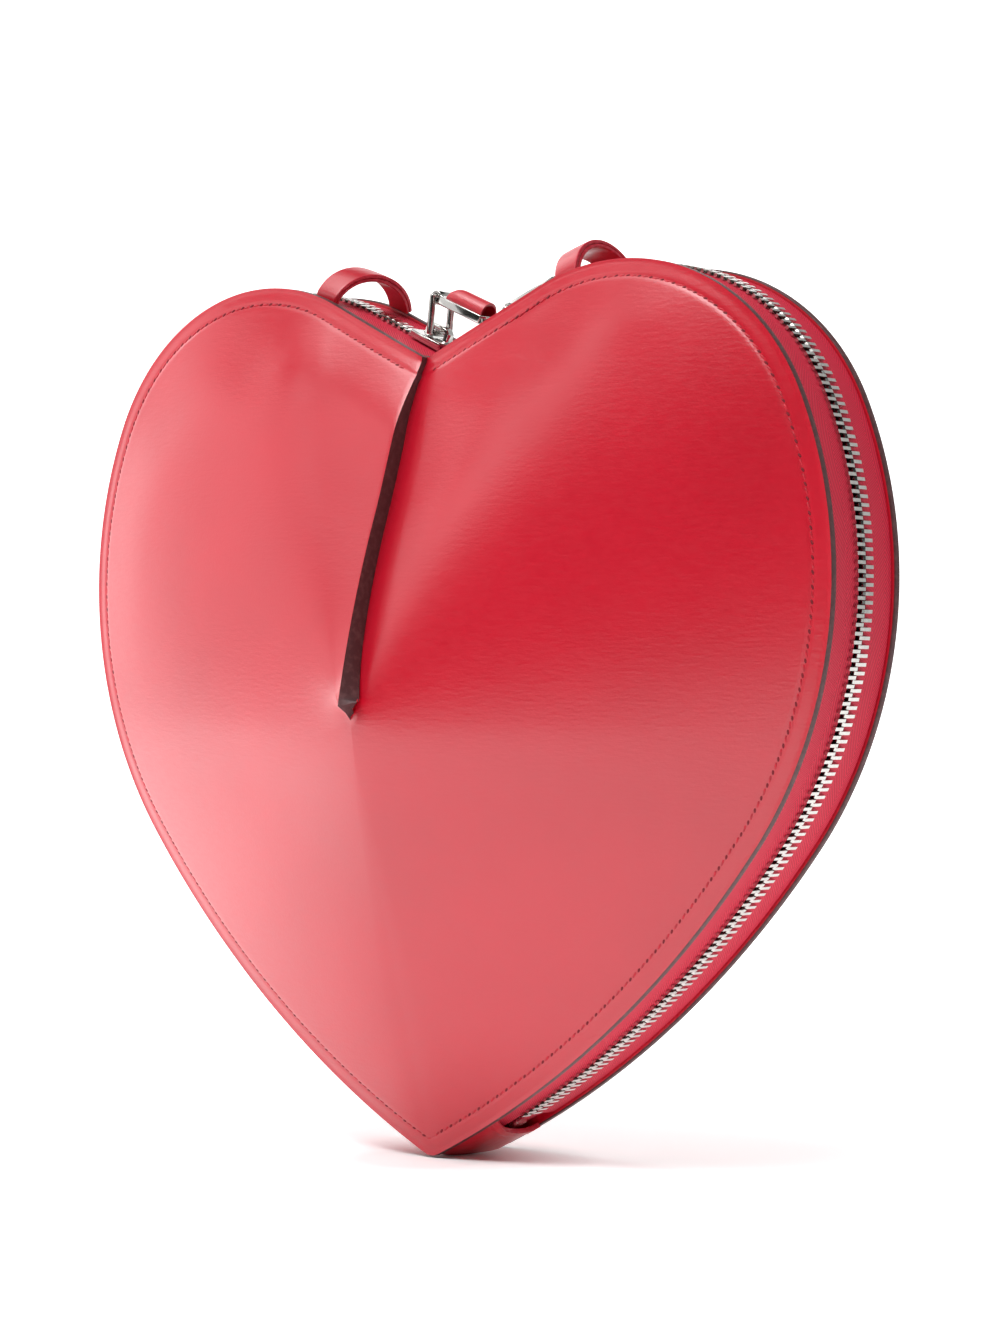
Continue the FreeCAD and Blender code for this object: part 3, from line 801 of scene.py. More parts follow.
@dataclass(frozen=True)
class Seam:
    """A row of lock stitches in a groove, each thread sinking into a needle hole at its ends."""

    inset: float = 4.3
    groove: float = 0.22
    groove_width: float = 0.6
    # inset from the stitches to the line beside them that gives the leather's slope
    beside: float = 1.5
    samples: int = 2400
    pitch: float = 3.4
    # length, width and height of a thread and of a slit, and their turns in degrees
    thread_size: tuple[float, float, float] = (2.7, 0.6, 0.36)
    slit_size: tuple[float, float, float] = (1.3, 0.66, 0.34)
    thread_slant: float = 14.0
    slit_slant: float = 24.0
    dive: float = 0.4

    def sunk(self, inset: np.ndarray) -> np.ndarray:
        """Gives the groove's depth at insets from the rim."""
        return self.groove * np.exp(-((inset - self.inset) / self.groove_width) ** 2)

    def bead(self, rings: int, size: tuple[float, float, float], turn: float) -> bpy.types.Object:
        """Models a long bead along X.

        Args:
            rings: Faces along it.
            size: Its length, width and height.
            turn: Its turn about Z in degrees.
        Returns:
            The bead at the origin.
        """
        bpy.ops.object.select_all(action="DESELECT")
        bpy.ops.mesh.primitive_uv_sphere_add(segments=8, ring_count=rings, radius=0.5 * MM)
        piece = bpy.context.object
        bpy.ops.object.mode_set(mode="EDIT")
        bpy.ops.mesh.select_all(action="SELECT")
        bpy.ops.transform.rotate(value=math.pi / 2, orient_axis="Y", center_override=(0, 0, 0))
        bpy.ops.transform.resize(value=size, center_override=(0, 0, 0))
        bpy.ops.transform.rotate(value=math.radians(-turn), orient_axis="Z", center_override=(0, 0, 0))
        bpy.ops.object.mode_set(mode="OBJECT")
        return piece

    def thread(self, finishes: Finishes) -> bpy.types.Object:
        """Models one stitch with the slit that it starts from, along X with Z outwards.

        Args:
            finishes: The built materials.
        Returns:
            The stitch at the origin.
        """
        piece = self.bead(6, self.thread_size, self.thread_slant)
        reach = self.thread_size[0] / 2 * MM
        for vertex in piece.data.vertices:
            # the thread's ends dive into the leather
            vertex.co.z -= self.dive * MM * (vertex.co.x / reach) ** 4
        slit = self.bead(4, self.slit_size, self.slit_slant)
        for vertex in slit.data.vertices:
            vertex.co.x -= self.pitch / 2 * MM
        dress(piece, (finishes.thread,))
        # the slit is a raised dark bead: painted shade of the needle hole
        dress(slit, (finishes.hole,))
        return join((piece, slit))

    def sew(self, name: str, line: np.ndarray, normals: np.ndarray, finishes: Finishes) -> bpy.types.Object:
        """Sews stitches along a line.

        Args:
            name: The piece's name.
            line: Closely spaced points on the leather, in millimetres.
            normals: The leather's outward normals there.
            finishes: The built materials.
        Returns:
            All the stitches as one piece.
        """
        model = self.thread(finishes)
        way = running(np.linalg.norm(np.diff(line, axis=0), axis=1))
        count = int(way[-1] / self.pitch)
        places = (np.arange(count) + 0.5) * way[-1] / count
        half = self.pitch / 2

        def along(values: np.ndarray, distance: np.ndarray) -> np.ndarray:
            """Reads three columns at distances along the line."""
            return np.stack([np.interp(distance, way, values[:, axis]) for axis in range(3)], axis=1)

        middles, outs = along(line, places), along(normals, places)
        tangents = along(line, places + half) - along(line, places - half)
        copies = []
        for middle, out, tangent in zip(middles, outs, tangents):
            up = Vector(out).normalized()
            ahead = Vector(tangent)
            ahead = (ahead - up * ahead.dot(up)).normalized()
            turn = Matrix((ahead, up.cross(ahead), up)).transposed().to_4x4()
            copy = bpy.data.objects.new(name, model.data.copy())
            copy.data.transform(Matrix.Translation(Vector(middle) * MM) @ turn)
            bpy.context.scene.collection.objects.link(copy)
            copies.append(copy)
        bpy.data.objects.remove(model)
        piece = join(copies)
        piece.name = name
        finish_mesh(piece, 80)
        return piece


@dataclass(frozen=True)
class Lining:
    """The cloth inside a panel."""

    inset: float = 10.0
    thickness: float = 0.8
    columns: int = 160

    def make(self, name: str, rows: int, place: Place, facing: Vector,
             cloth: bpy.types.Material) -> bpy.types.Object:
        """Builds the cloth.

        Args:
            name: The piece's name.
            rows: Cells from its edge to its middle.
            place: Gives points of its inner face.
            facing: The direction into the purse.
            cloth: Its material.
        Returns:
            The cloth.
        """
        piece = sheet(name, self.columns, rows, place, facing)
        dress(piece, (cloth, cloth))
        thicken(piece, self.thickness, 0)
        finish_mesh(piece)
        return piece


@dataclass
class FrontPanel:
    """The coned front: one piece of leather drawn up by a dart whose left side laps over its right."""

    outline: HeartOutline
    build: Build
    finishes: Finishes
    seam: Seam = Seam()
    lining: Lining = Lining()
    rise: float = 31.5
    fullness: float = 4.0
    flange: float = 0.9
    apex: float = 109.0
    lift: float = 5.3
    lap: float = 2.4
    lift_run: float = 20.0
    end_run: Span = (0.3, 3.6)
    spread: float = 115.0
    tuck: float = 1.6
    ridge_start: float = 20.0
    ridge_round: float = 32.0
    ridge_end: float = 84.0
    tip_corner: float = 8.0
    notch_bow: float = 3.2
    bow_reach: float = 34.0
    # shares of the way from the top to the rim over which each form comes up
    ridge_fade: Span = (0.0, 0.5)
    bow_fade: Span = (0.55, 1.0)
    dent_fade: Span = (0.3, 0.6)
    tuck_fade: Span = (0.04, 0.2)
    # X, Z, half width, half height and depth of each dent
    dents: tuple[tuple[float, ...], ...] = (
        (-58.0, 201.0, 17.0, 11.0, 1.3), (-36.0, 197.0, 10.0, 12.0, -0.7), (-84.0, 186.0, 16.0, 12.0, 0.6),
        (38.0, 203.0, 13.0, 9.0, 1.0), (60.0, 206.0, 14.0, 8.0, -0.5), (20.0, 188.0, 12.0, 9.0, -0.5))
    dent_inset: float = 9.0
    stitch_start: float = 4.0
    lining_gap: float = 1.4
    edge_round: float = 0.6
    # the folded edge at the dart: its width, what is left off its thickness, and how far it stands clear
    fold_width: float = 4.0
    fold_allowance: float = 0.35
    fold_clear: float = 1.0

    def rows(self) -> tuple[np.ndarray, np.ndarray]:
        """Lays out the rows from the rim to the top.

        Returns:
            Insets from the rim, and how much of the rest of the way is gone.
        """
        # the rows lie closest along the stitch groove
        near = np.concatenate([np.linspace(0, 3.0, 6), np.linspace(3.4, 5.2, 7), [5.8, 6.6, 7.6, 9.0]])
        far = np.linspace(0, 1, 48)[1:]
        insets = np.concatenate([near, np.full(len(far), near[-1])])
        return insets, np.concatenate([np.zeros(len(near)), far])

    def rim(self, signed: np.ndarray) -> tuple[np.ndarray, np.ndarray, np.ndarray, np.ndarray]:
        """Finds points of the rim.

        Args:
            signed: Distance along the rim from the notch.
        Returns:
            X and Z of the points, X of their outward normals and their reach from the top along the normals.
        """
        x, z, out_x, out_z = self.outline.half().at(signed)
        return x, z, out_x, x * out_x + (z - self.apex) * out_z

    def share(self, signed: np.ndarray, inset: np.ndarray, inward: np.ndarray) -> np.ndarray:
        """Gives the share of the way from the top to the rim.

        Args:
            signed: Distance along the rim from the notch.
            inset: Inset from the rim.
            inward: How much of the rest of the way to the top is gone.
        Returns:
            1 at the rim and 0 at the top.
        """
        reach = self.rim(signed)[3]
        return (1 - inset / reach) * (1 - inward)

    def dart(self, share: np.ndarray, around: np.ndarray) -> np.ndarray:
        """Gives the lapping side's height over the other side, at an angle in degrees from the dart.

        Args:
            share: 1 at the rim and 0 at the top.
            around: Angle from the dart in degrees.
        Returns:
            The height in millimetres.
        """
        length = self.outline.notch_height - self.apex
        way = share * length
        full = self.lap + (self.lift - self.lap) * smooth(length - way, 0, self.lift_run)
        turn = np.clip(around / self.spread, 0, 1)
        return full * smooth(way, *self.end_run) * (1 - turn) ** 2

    def bow(self, signed: np.ndarray) -> np.ndarray:
        """Gives how far the rim swells forward beside the notch."""
        return self.notch_bow * np.exp(-(signed / self.bow_reach) ** 2)

    def buckles(self, x: np.ndarray, z: np.ndarray) -> np.ndarray:
        """Gives the soft dents that the sewn rim pulls into the lobes.

        Args:
            x: Places along X.
            z: Places along Z.
        Returns:
            How deep the leather lies there.
        """
        depth = np.zeros_like(x)
        for centre_x, centre_z, wide, high, deep in self.dents:
            depth += deep * np.exp(-((x - centre_x) / wide) ** 2 - ((z - centre_z) / high) ** 2)
        return depth

    def surface(self, signed: np.ndarray, share: np.ndarray, inset: np.ndarray,
                lapping: np.ndarray) -> np.ndarray:
        """Gives points of the outer face.

        Args:
            signed: Distance along the rim from the notch.
            share: 1 at the rim and 0 at the top.
            inset: Inset from the rim, for the stitch groove.
            lapping: 1 on the side of the dart that laps over the other, 0 elsewhere.
        Returns:
            Points in millimetres.
        """
        rim_x, rim_z, _, reach = self.rim(signed)
        x, z = share * rim_x, self.apex + share * (rim_z - self.apex)
        # the rim lies flat, so that its painted edge stands square
        level = share + share * np.minimum(1 - share, self.flange / reach)
        # the ridge from the dart's end to the tip is rounded off
        # through the tip's corner it keeps the lean of the flanks
        held = np.sign(signed) * np.minimum(np.abs(signed), self.outline.half().length - self.tip_corner)
        _, _, flank_out, flank_reach = self.rim(held)
        lean = np.abs(flank_out) / flank_reach * smooth(self.apex - z, 0, self.ridge_start)
        upper, lower = self.ridge_round * smooth(share, *self.ridge_fade), self.ridge_end * (1 - share)
        blunt = upper * lower / (upper + lower + TINY)
        level = level + lean * (np.hypot(x, blunt) - np.abs(x))
        height = self.rise * (1 - level) + self.fullness * 4 * level * (1 - level)
        around = np.degrees(np.arctan2(np.abs(rim_x), rim_z - self.apex))
        bowed = self.bow(signed) * smooth(share, *self.bow_fade)
        height = height + lapping * self.dart(share, around) + bowed
        height = height - self.seam.sunk(inset) * (inset > 0)
        dented = smooth(inset, 0, self.dent_inset) * smooth(share, *self.dent_fade)
        height = height - self.buckles(x, z) * dented
        return np.stack([x, self.build.front_face - height, z], axis=1)

    def place(self, along: np.ndarray, across: np.ndarray) -> np.ndarray:
        """Gives the outer face's points from shares along the rim and from the rim to the top.

        Args:
            along: Share of the way along the rim, from the tuck at the notch.
            across: Share of the way from the rim to the top.
        Returns:
            Points in millimetres.
        """
        path = self.outline.half()
        insets, inwards = self.rows()
        steps = np.linspace(0, 1, len(insets))
        inset, inward = np.interp(across, steps, insets), np.interp(across, steps, inwards)
        way = -self.tuck + along * (2 * path.length + self.tuck)
        signed = path.around(way)
        share = self.share(signed, inset, inward)
        # the hidden tuck under the lapping side narrows to nothing at the dart's end
        signed = np.where(way < 0, signed * smooth(share, *self.tuck_fade), signed)
        return self.surface(signed, share, inset, np.where(way > path.length, 1.0, 0.0))

    def stitch_line(self) -> tuple[np.ndarray, np.ndarray]:
        """Finds the stitch line from the notch round to the notch.

        Returns:
            Points in millimetres, and the leather's normals there.
        """
        path = self.outline.half()
        way = np.linspace(self.stitch_start, 2 * path.length - self.stitch_start, self.seam.samples)
        signed = path.around(way)
        lapping = np.where(way > path.length, 1.0, 0.0)
        lines = []
        for inset in (self.seam.inset, self.seam.inset + self.seam.beside):
            level = np.full(len(way), inset)
            lines.append(self.surface(signed, self.share(signed, level, 0 * level), 0 * level, lapping))
        line, inner = lines
        ahead = np.gradient(line, axis=0)
        normals = np.cross(ahead, inner - line)
        normals *= np.where(normals[:, 1:2] > 0, -1.0, 1.0)
        normals /= np.linalg.norm(normals, axis=1, keepdims=True)
        return line - normals * self.seam.groove, normals

    def lining_place(self, along: np.ndarray, across: np.ndarray) -> np.ndarray:
        """Gives the lining's inner face from shares round the panel and from its edge to the top.

        Args:
            along: Share of the way round the panel.
            across: Share of the way from its edge to the top.
        Returns:
            Points in millimetres.
        """
        path = self.outline.half()
        way = along * 2 * path.length
        signed = path.around(way)
        share = self.share(signed, np.full(len(way), self.lining.inset), across)
        points = self.surface(signed, share, 0 * way, 0 * way)
        points[:, 1] += self.build.leather + self.lining_gap + self.lining.thickness
        return points

    def make(self) -> None:
        """Builds the panel, its stitches and its lining."""
        panel = sheet("front_panel_leather", 420, len(self.rows()[0]) - 1, self.place, Vector((0, -1, 0)))
        self.thickness_group(panel)
        dress(panel, (self.finishes.leather, self.finishes.edge))
        thicken(panel, self.lift, self.edge_round, "thickness")
        finish_mesh(panel, 45)
        stitches = self.seam.sew("front_panel_stitches", *self.stitch_line(), self.finishes)
        cloth = self.lining.make("front_lining_cloth", 30, self.lining_place, Vector((0, 1, 0)),
                                 self.finishes.lining)
        for piece, node, slot in ((panel, "front_panel", "leather"), (stitches, "", "leather"),
                                  (cloth, "front_lining", "lining")):
            settle(piece, "front_shell", node)

    def thickness_group(self, panel: bpy.types.Object) -> None:
        """Weights the leather's thickness, which the folded flap doubles along the dart.

        Args:
            panel: The panel before it is thickened.
        """
        group = panel.vertex_groups.new(name="thickness")
        right = self.build.leather / self.lift
        length = self.outline.notch_height - self.apex
        for vertex in panel.data.vertices:
            x, y, z = vertex.co / MM
            share = (z - self.apex) / length
            weight = right
            clear = self.build.front_face - self.rise * (1 - share) - self.fold_clear
            if x <= 0 and share > 0 and y < clear:
                edge = float(self.dart(np.array([share]), np.array([0.0]))[0]) - self.fold_allowance
                weight += max(0.0, edge / self.lift - right) * math.exp(-(x / self.fold_width) ** 2)
            group.add([vertex.index], weight, "REPLACE")


@dataclass
class BackPanel:
    """The flat back with its painted edge, stitches and lining."""

    outline: HeartOutline
    build: Build
    finishes: Finishes
    seam: Seam = Seam()
    lining: Lining = Lining()
    centre: float = 120.0
    edge_round: float = 0.4
    # share round the outline at which the stitches start
    stitch_start: float = 0.004

    def flat(self, along: np.ndarray, inset: np.ndarray, inward: np.ndarray, depth: np.ndarray) -> np.ndarray:
        """Gives points of a flat heart.

        Args:
            along: Share round the outline.
            inset: Inset from the outline.
            inward: How much of the rest of the way to the middle is gone.
            depth: Place along Y.
        Returns:
            Points in millimetres.
        """
        path = self.outline.half()
        x, z, out_x, out_z = path.at(path.around(along * 2 * path.length))
        share = (1 - inset / (x * out_x + (z - self.centre) * out_z)) * (1 - inward)
        return np.stack([share * x, depth, self.centre + share * (z - self.centre)], axis=1)

    def place(self, along: np.ndarray, across: np.ndarray) -> np.ndarray:
        """Gives the outer face's points from shares round the rim and from the rim to the middle.

        Args:
            along: Share of the way round the rim.
            across: Share of the way from the rim to the middle.
        Returns:
            Points in millimetres.
        """
        insets = np.concatenate([np.linspace(0, 3.0, 5), np.linspace(3.5, 5.1, 5), np.full(8, 6.0)])
        inwards = np.concatenate([np.zeros(10), np.linspace(0, 1, 8)])
        steps = np.linspace(0, 1, len(insets))
        inset, inward = np.interp(across, steps, insets), np.interp(across, steps, inwards)
        return self.flat(along, inset, inward, self.build.back_face - self.seam.sunk(inset))

    def lining_place(self, along: np.ndarray, across: np.ndarray) -> np.ndarray:
        """Gives the lining's inner face."""
        depth = self.build.back_face - self.build.leather - self.lining.thickness
        return self.flat(along, np.full(len(along), self.lining.inset), across, np.full(len(along), depth))

    def make(self) -> None:
        """Builds the panel, its stitches and its lining."""
        panel = sheet("back_panel_leather", 360, 17, self.place, Vector((0, 1, 0)))
        dress(panel, (self.finishes.leather, self.finishes.edge))
        thicken(panel, self.build.leather, self.edge_round)
        finish_mesh(panel, 45)
        along = np.linspace(self.stitch_start, 1 - self.stitch_start, self.seam.samples)
        level = np.full(len(along), self.seam.inset)
        depth = np.full(len(along), self.build.back_face - self.seam.groove)
        line = self.flat(along, level, 0 * level, depth)
        normals = np.tile([0.0, 1.0, 0.0], (len(along), 1))
        stitches = self.seam.sew("back_panel_stitches", line, normals, self.finishes)
        cloth = self.lining.make("back_lining_cloth", 12, self.lining_place, Vector((0, -1, 0)),
                                 self.finishes.lining)
        for piece, node, slot in ((panel, "back_panel", "leather"), (stitches, "", "leather"),
                                  (cloth, "back_lining", "lining")):
            settle(piece, "back_shell", node)


@dataclass
class ZipGusset:
    """The two halves of the zip tape with their hems, the rows of teeth and the stops."""

    outline: HeartOutline
    build: Build
    finishes: Finishes
    front: FrontPanel
    recess: float = 1.0
    thickness: float = 0.6
    edge: float = 1.65
    # share of the way to the panel at which the wall ends
    wall_end: float = 0.97
    hem_start: float = 2.0
    hem: float = 7.0
    short: float = 9.0
    dish: float = 0.35
    corner: float = 0.5
    # distance from the notch within which the two flanks meet on the middle line
    meeting: float = 0.5
    dip: float = 1.3
    # distances from the tape's end, and shares of the way to the panel, over which the dip comes up
    dip_run: Span = (7.0, 12.0)
    dip_fade: Span = (0.45, 0.85)

    def profile(self) -> np.ndarray:
        """Draws the tape's section.

        Returns:
            Rows of the share of the way from the chain to the panel, and the inset.
        """
        shares = np.linspace(0, self.wall_end, 9)
        wall = [(share, self.recess + self.dish * math.sin(math.pi * share)) for share in shares]
        steps = (0.0, *np.linspace(self.hem_start, self.hem, 3))
        return np.array(wall + [(1.0, self.recess + self.corner + step) for step in steps])

    def make_half(self, face: Face, body: str, node: str) -> None:
        """Builds one half of the tape.

        Args:
            face: Front or back.
            body: The body that it rides on.
            node: The node that it replaces.
        """
        section = self.profile()
        path = self.outline.half(self.recess, self.short)
        wide = self.build.gusset_depth / 2 - self.edge

        def place(along: np.ndarray, across: np.ndarray) -> np.ndarray:
            """Gives the tape's outer face.

            Args:
                along: Share of the tape's length.
                across: Share of the section, from the chain on.
            Returns:
                Points in millimetres.
            """
            signed = (along * 2 - 1) * path.length
            x, z, out_x, out_z = path.at(signed)
            steps = np.linspace(0, 1, len(section))
            reach, inset = (np.interp(across, steps, section[:, axis]) for axis in (0, 1))
            depth = wide + self.front.bow(signed) if face is Face.FRONT else wide
            y = self.build.middle + face.value * (self.edge + reach * depth)
            # beside the panels the ends dip under the strip round the tip
            sunk = self.dip * (1 - smooth(path.length - np.abs(signed), *self.dip_run))
            drop = inset - self.recess + sunk * smooth(reach, *self.dip_fade)
            moved_x = np.where(np.abs(signed) < self.meeting, 0.0, x - out_x * drop)
            return np.stack([moved_x, y, z - out_z * drop], axis=1)

        piece = sheet(node + "_weave", 420, len(section) - 1, place, Vector((0, 0, 1)))
        widths = running(np.hypot(np.diff(section[:, 0]) * wide, np.diff(section[:, 1])))
        set_lengths(piece, np.array([0.0, 2 * path.length]), widths)
        dress(piece, (self.finishes.tape, self.finishes.tape))
        thicken(piece, self.thickness, 0)
        finish_mesh(piece, 60)
        settle(piece, body, node)

    def make(self, frame: dict) -> None:
        """Builds both halves and plates the teeth.

        Args:
            frame: The loaded frame.
        """
        self.make_half(Face.FRONT, "front_shell", "front_tape")
        self.make_half(Face.BACK, "back_shell", "back_tape")
        for node in ("front_teeth", "back_teeth", "chain_stops"):
            dress(frame["nodes"][node], (self.finishes.teeth,))


@dataclass
class BaseGusset:
    """The leather strip round the tip, with a turned hem along each curved end."""

    outline: HeartOutline
    build: Build
    finishes: Finishes
    recess: float = 0.4
    thickness: float = 1.3
    bulge: float = 2.0
    # distances from the end over which the hem falls away
    hem: Span = (1.9, 2.8)
    hem_height: float = 0.35
    gap: float = 0.2
    lowest: float = 0.1
    edge_round: float = 0.2
    # reach from the tip, and share of the bulge, at even steps from the front to the back
    reaches: tuple[float, ...] = (21.5, 19.2, 17.4, 16.3, 15.6, 15.1, 14.8, 14.6)
    swells: tuple[float, ...] = (0.0, 0.55, 0.85, 0.97, 1.0, 0.95, 0.75, 0.3)

    def place(self, along: np.ndarray, across: np.ndarray) -> np.ndarray:
        """Gives the outer face from shares along the strip and from front to back.

        Args:
            along: Share of the way along the strip.
            across: Share of the way from front to back.
        Returns:
            Points in millimetres.
        """
        path = self.outline.half(self.recess)
        steps = np.linspace(0, 1, len(self.reaches))
        end = np.interp(across, steps, self.reaches)
        swell = np.interp(across, steps, self.swells) * self.bulge
        from_tip = (along * 2 - 1) * end
        signed = np.sign(from_tip + TINY) * (path.length - np.abs(from_tip))
        x, z, out_x, out_z = path.at(signed)
        out_x = np.where(np.abs(from_tip) < 1e-6, 0.0, out_x)
        # a turned hem stands up along each end
        hem = self.hem_height * (1 - smooth(end - np.abs(from_tip), *self.hem))
        rise = swell + hem - self.hem_height * (1 - across)
        low, high = self.build.gusset_front, self.build.gusset_back
        y = low + self.gap + across * (high - low - 2 * self.gap)
        return np.stack([x + out_x * rise, y, np.maximum(z + out_z * rise, self.lowest)], axis=1)

    def make(self) -> None:
        """Builds the strip."""
        piece = sheet("base_gusset_leather", 140, 28, self.place, Vector((0, 0, -1)))
        dress(piece, (self.finishes.leather, self.finishes.red_edge))
        thicken(piece, self.thickness, self.edge_round)
        finish_mesh(piece, 50)
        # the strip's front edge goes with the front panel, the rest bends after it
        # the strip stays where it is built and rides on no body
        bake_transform(piece)
        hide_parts("base_gusset")
        LOG.info("%s: %d faces between back_shell and front_shell", piece.name, len(piece.data.polygons))


@dataclass
class StrapTab:
    """A two-ply leather loop that arches over the gusset beside the notch, its edges dyed red."""

    outline: HeartOutline
    build: Build
    finishes: Finishes
    hand: Hand
    width: float = 6.6
    ply: float = 0.95
    plies_gap: float = 0.1
    edge_round: float = 0.22
    # left and right: the right loop is higher, so that its pull can pass under it
    rises: Span = (8.6, 9.6)
    spring: float = 0.8
    seat: float = 0.1
    recess: float = 1.0
    # place on the lobe in degrees
    place_on_lobe: float = 108.4
    # left and right: the left loop slants towards the notch
    sweeps: Span = (4.0, 0.0)
    sweep_fade: Span = (0.1, 1.0)

    @property
    def number(self) -> int:
        """0 for the left loop and 1 for the right one."""
        return 0 if self.hand is Hand.LEFT else 1

    def arch(self) -> tuple[np.ndarray, np.ndarray]:
        """Draws the outer line from the front foot to the rear end.

        Returns:
            Y from the middle, and radius on the lobe.
        """
        front = -self.build.gusset_depth / 2 + self.seat
        back = self.build.gusset_depth / 2 + self.build.leather / 2
        base = self.outline.lobe_radius
        rise = self.rises[self.number] - self.spring
        chord = back - front
        bend = (chord ** 2 / 4 + rise ** 2) / (2 * rise)
        swing = math.asin(chord / 2 / bend)
        turn = np.linspace(math.pi / 2 + swing, math.pi / 2 - swing, 41)
        y = (front + back) / 2 + bend * np.cos(turn)
        radius = base + self.spring + rise - bend + bend * np.sin(turn)
        foot = base - self.recess + self.seat
        y = np.concatenate([[y[0]], y])
        return y, np.concatenate([[foot], radius])

    def point(self, along: np.ndarray, across: np.ndarray, depth: float) -> np.ndarray:
        """Gives points at a depth under the outer face.

        Args:
            along: Share of the arch from the front foot.
            across: Share of the width, away from the notch.
            depth: Depth under the outer face.
        Returns:
            Points in millimetres.
        """
        y, radius = self.arch()
        ahead = np.gradient(np.stack([y, radius], axis=1), axis=0)
        ahead[0] = (0.0, 1.0)
        ahead /= np.linalg.norm(ahead, axis=1, keepdims=True)
        inner_y, inner_radius = y + ahead[:, 1] * depth, radius - ahead[:, 0] * depth
        steps = np.linspace(0, 1, len(y))
        place_y, place_radius = np.interp(along, steps, inner_y), np.interp(along, steps, inner_radius)
        lobe_z = self.outline.height - self.outline.lobe_radius
        swept = smooth(along, *self.sweep_fade) * self.sweeps[self.number]
        aside = (0.5 - across) * self.width + swept
        angle = math.radians(self.place_on_lobe) + aside / self.outline.lobe_radius
        x = self.hand.value * (self.outline.lobe_centre_x + place_radius * np.cos(angle))
        return np.stack([x, self.build.middle + place_y, lobe_z + place_radius * np.sin(angle)], axis=1)

    def make(self) -> None:
        """Builds both plies."""
        word = self.hand.name.lower()
        plies = []
        for number, depth in enumerate((0.0, self.ply + self.plies_gap)):
            def place(along: np.ndarray, across: np.ndarray, depth: float = depth) -> np.ndarray:
                """Gives one ply's outer face."""
                return self.point(along, across, depth)

            ply = sheet("strap_tab_%s_ply_%d" % (word, number), 60, 12, place, Vector((0, 0, 1)))
            dress(ply, (self.finishes.leather, self.finishes.red_edge))
            thicken(ply, self.ply, self.edge_round)
            finish_mesh(ply, 50)
            plies.append(ply)
        piece = join(plies)
        piece.name = "strap_tab_%s_leather" % word
        settle(piece, "front_shell", "strap_tab_" + word)


@dataclass
class PullSet:
    """One slider with its square link, framed pull and the leather in the frame."""

    frame: dict
    finishes: Finishes
    hand: Hand
    corner: float = 0.22
    leather_length: float = 12.2
    leather_width: float = 6.0
    leather_rise: float = 4.4
    leather_drop: float = 1.5
    # share of the rise that is left under a pull that lies face down
    face_down: float = 0.6
    roundness: float = 0.8
    end_drop: float = 0.25
    hollow: float = 3.0
    hollow_edge: Span = (0.2, 0.35)

    def make(self) -> None:
        """Builds the rounded metal and the domed leather."""
        word = self.hand.name.lower()
        for node, body in (("slider_", "slider_"), ("pull_link_", "link_"), ("pull_plate_", "pull_")):
            piece = bevelled_copy(self.frame, node + word, node + word + "_plated", self.corner)
            dress(piece, (self.finishes.hardware,))
            settle(piece, body + word, node + word)
        leather = self.roll(word)
        dress(leather, (self.finishes.leather,))
        settle(leather, "pull_" + word, "pull_leather_" + word)

    def roll(self, word: str) -> bpy.types.Object:
        """Models the leather in the frame, a roll that is open at its free end.

        Args:
            word: left or right.
        Returns:
            The leather at its place.
        """
        low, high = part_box("pull_leather_" + word)
        middle = (low + high) / 2
        joint = next(j for j in self.frame["joints"] if j["name"] == "pull_%s_swing" % word)
        along = middle - Vector(joint["pos_m"])
        along.y = 0
        along.normalize()
        across = Vector((0, 1, 0))
        out = along.cross(across)
        if out.z < 0:
            across, out = -across, -out
        bpy.ops.object.select_all(action="DESELECT")
        bpy.ops.mesh.primitive_cube_add(size=1.0)
        piece = bpy.context.object
        piece.name = "pull_leather_%s_wrap" % word
        bpy.ops.object.mode_set(mode="EDIT")
        bpy.ops.mesh.select_all(action="SELECT")
        bpy.ops.mesh.subdivide(number_cuts=11)
        bpy.ops.object.mode_set(mode="OBJECT")
        # the right pull lies with its leather face down, where there is less room
        rise, drop = self.leather_rise, self.leather_drop
        if self.hand is Hand.RIGHT:
            rise, drop = self.leather_drop, self.face_down * self.leather_rise
        for vertex in piece.data.vertices:
            x, y, z = vertex.co * 2
            # the roll is round across its width and eases down at its fixed end
            swell = math.sqrt(max(0.0, 1 - self.roundness * y * y)) * (1 - self.end_drop * max(0.0, -x) ** 6)
            height = rise if z > 0 else drop
            open_end = float(smooth(1 - max(abs(y), abs(z)), *self.hollow_edge)) if x > 0.99 else 0.0
            hollow = self.hollow * open_end
            vertex.co = Vector((x * self.leather_length / 2 - hollow, y * self.leather_width / 2,
                                z * swell * height)) * MM
        turn = Matrix((along, across, out)).transposed().to_4x4()
        piece.data.transform(Matrix.Translation(middle) @ turn)
        finish_mesh(piece, 50)
        return piece


@dataclass(frozen=True)
class SoftBox:
    """A soft rectangular light that is aimed at the purse: place and size in metres, power in watts."""

    name: str
    place: tuple[float, float, float]
    size: Span
    power: float
    aim: tuple[float, float, float] = (0.0, 0.0, 0.11)

    def make(self) -> None:
        """Hangs the light."""
        data = bpy.data.lights.new(self.name, "AREA")
        data.shape = "RECTANGLE"
        data.size, data.size_y = self.size
        data.energy = self.power
        light = bpy.data.objects.new(self.name, data)
        place = Vector(self.place)
        turn = (Vector(self.aim) - place).to_track_quat("-Z", "Y")
        light.matrix_world = Matrix.Translation(place) @ turn.to_matrix().to_4x4()
        bpy.context.scene.collection.objects.link(light)


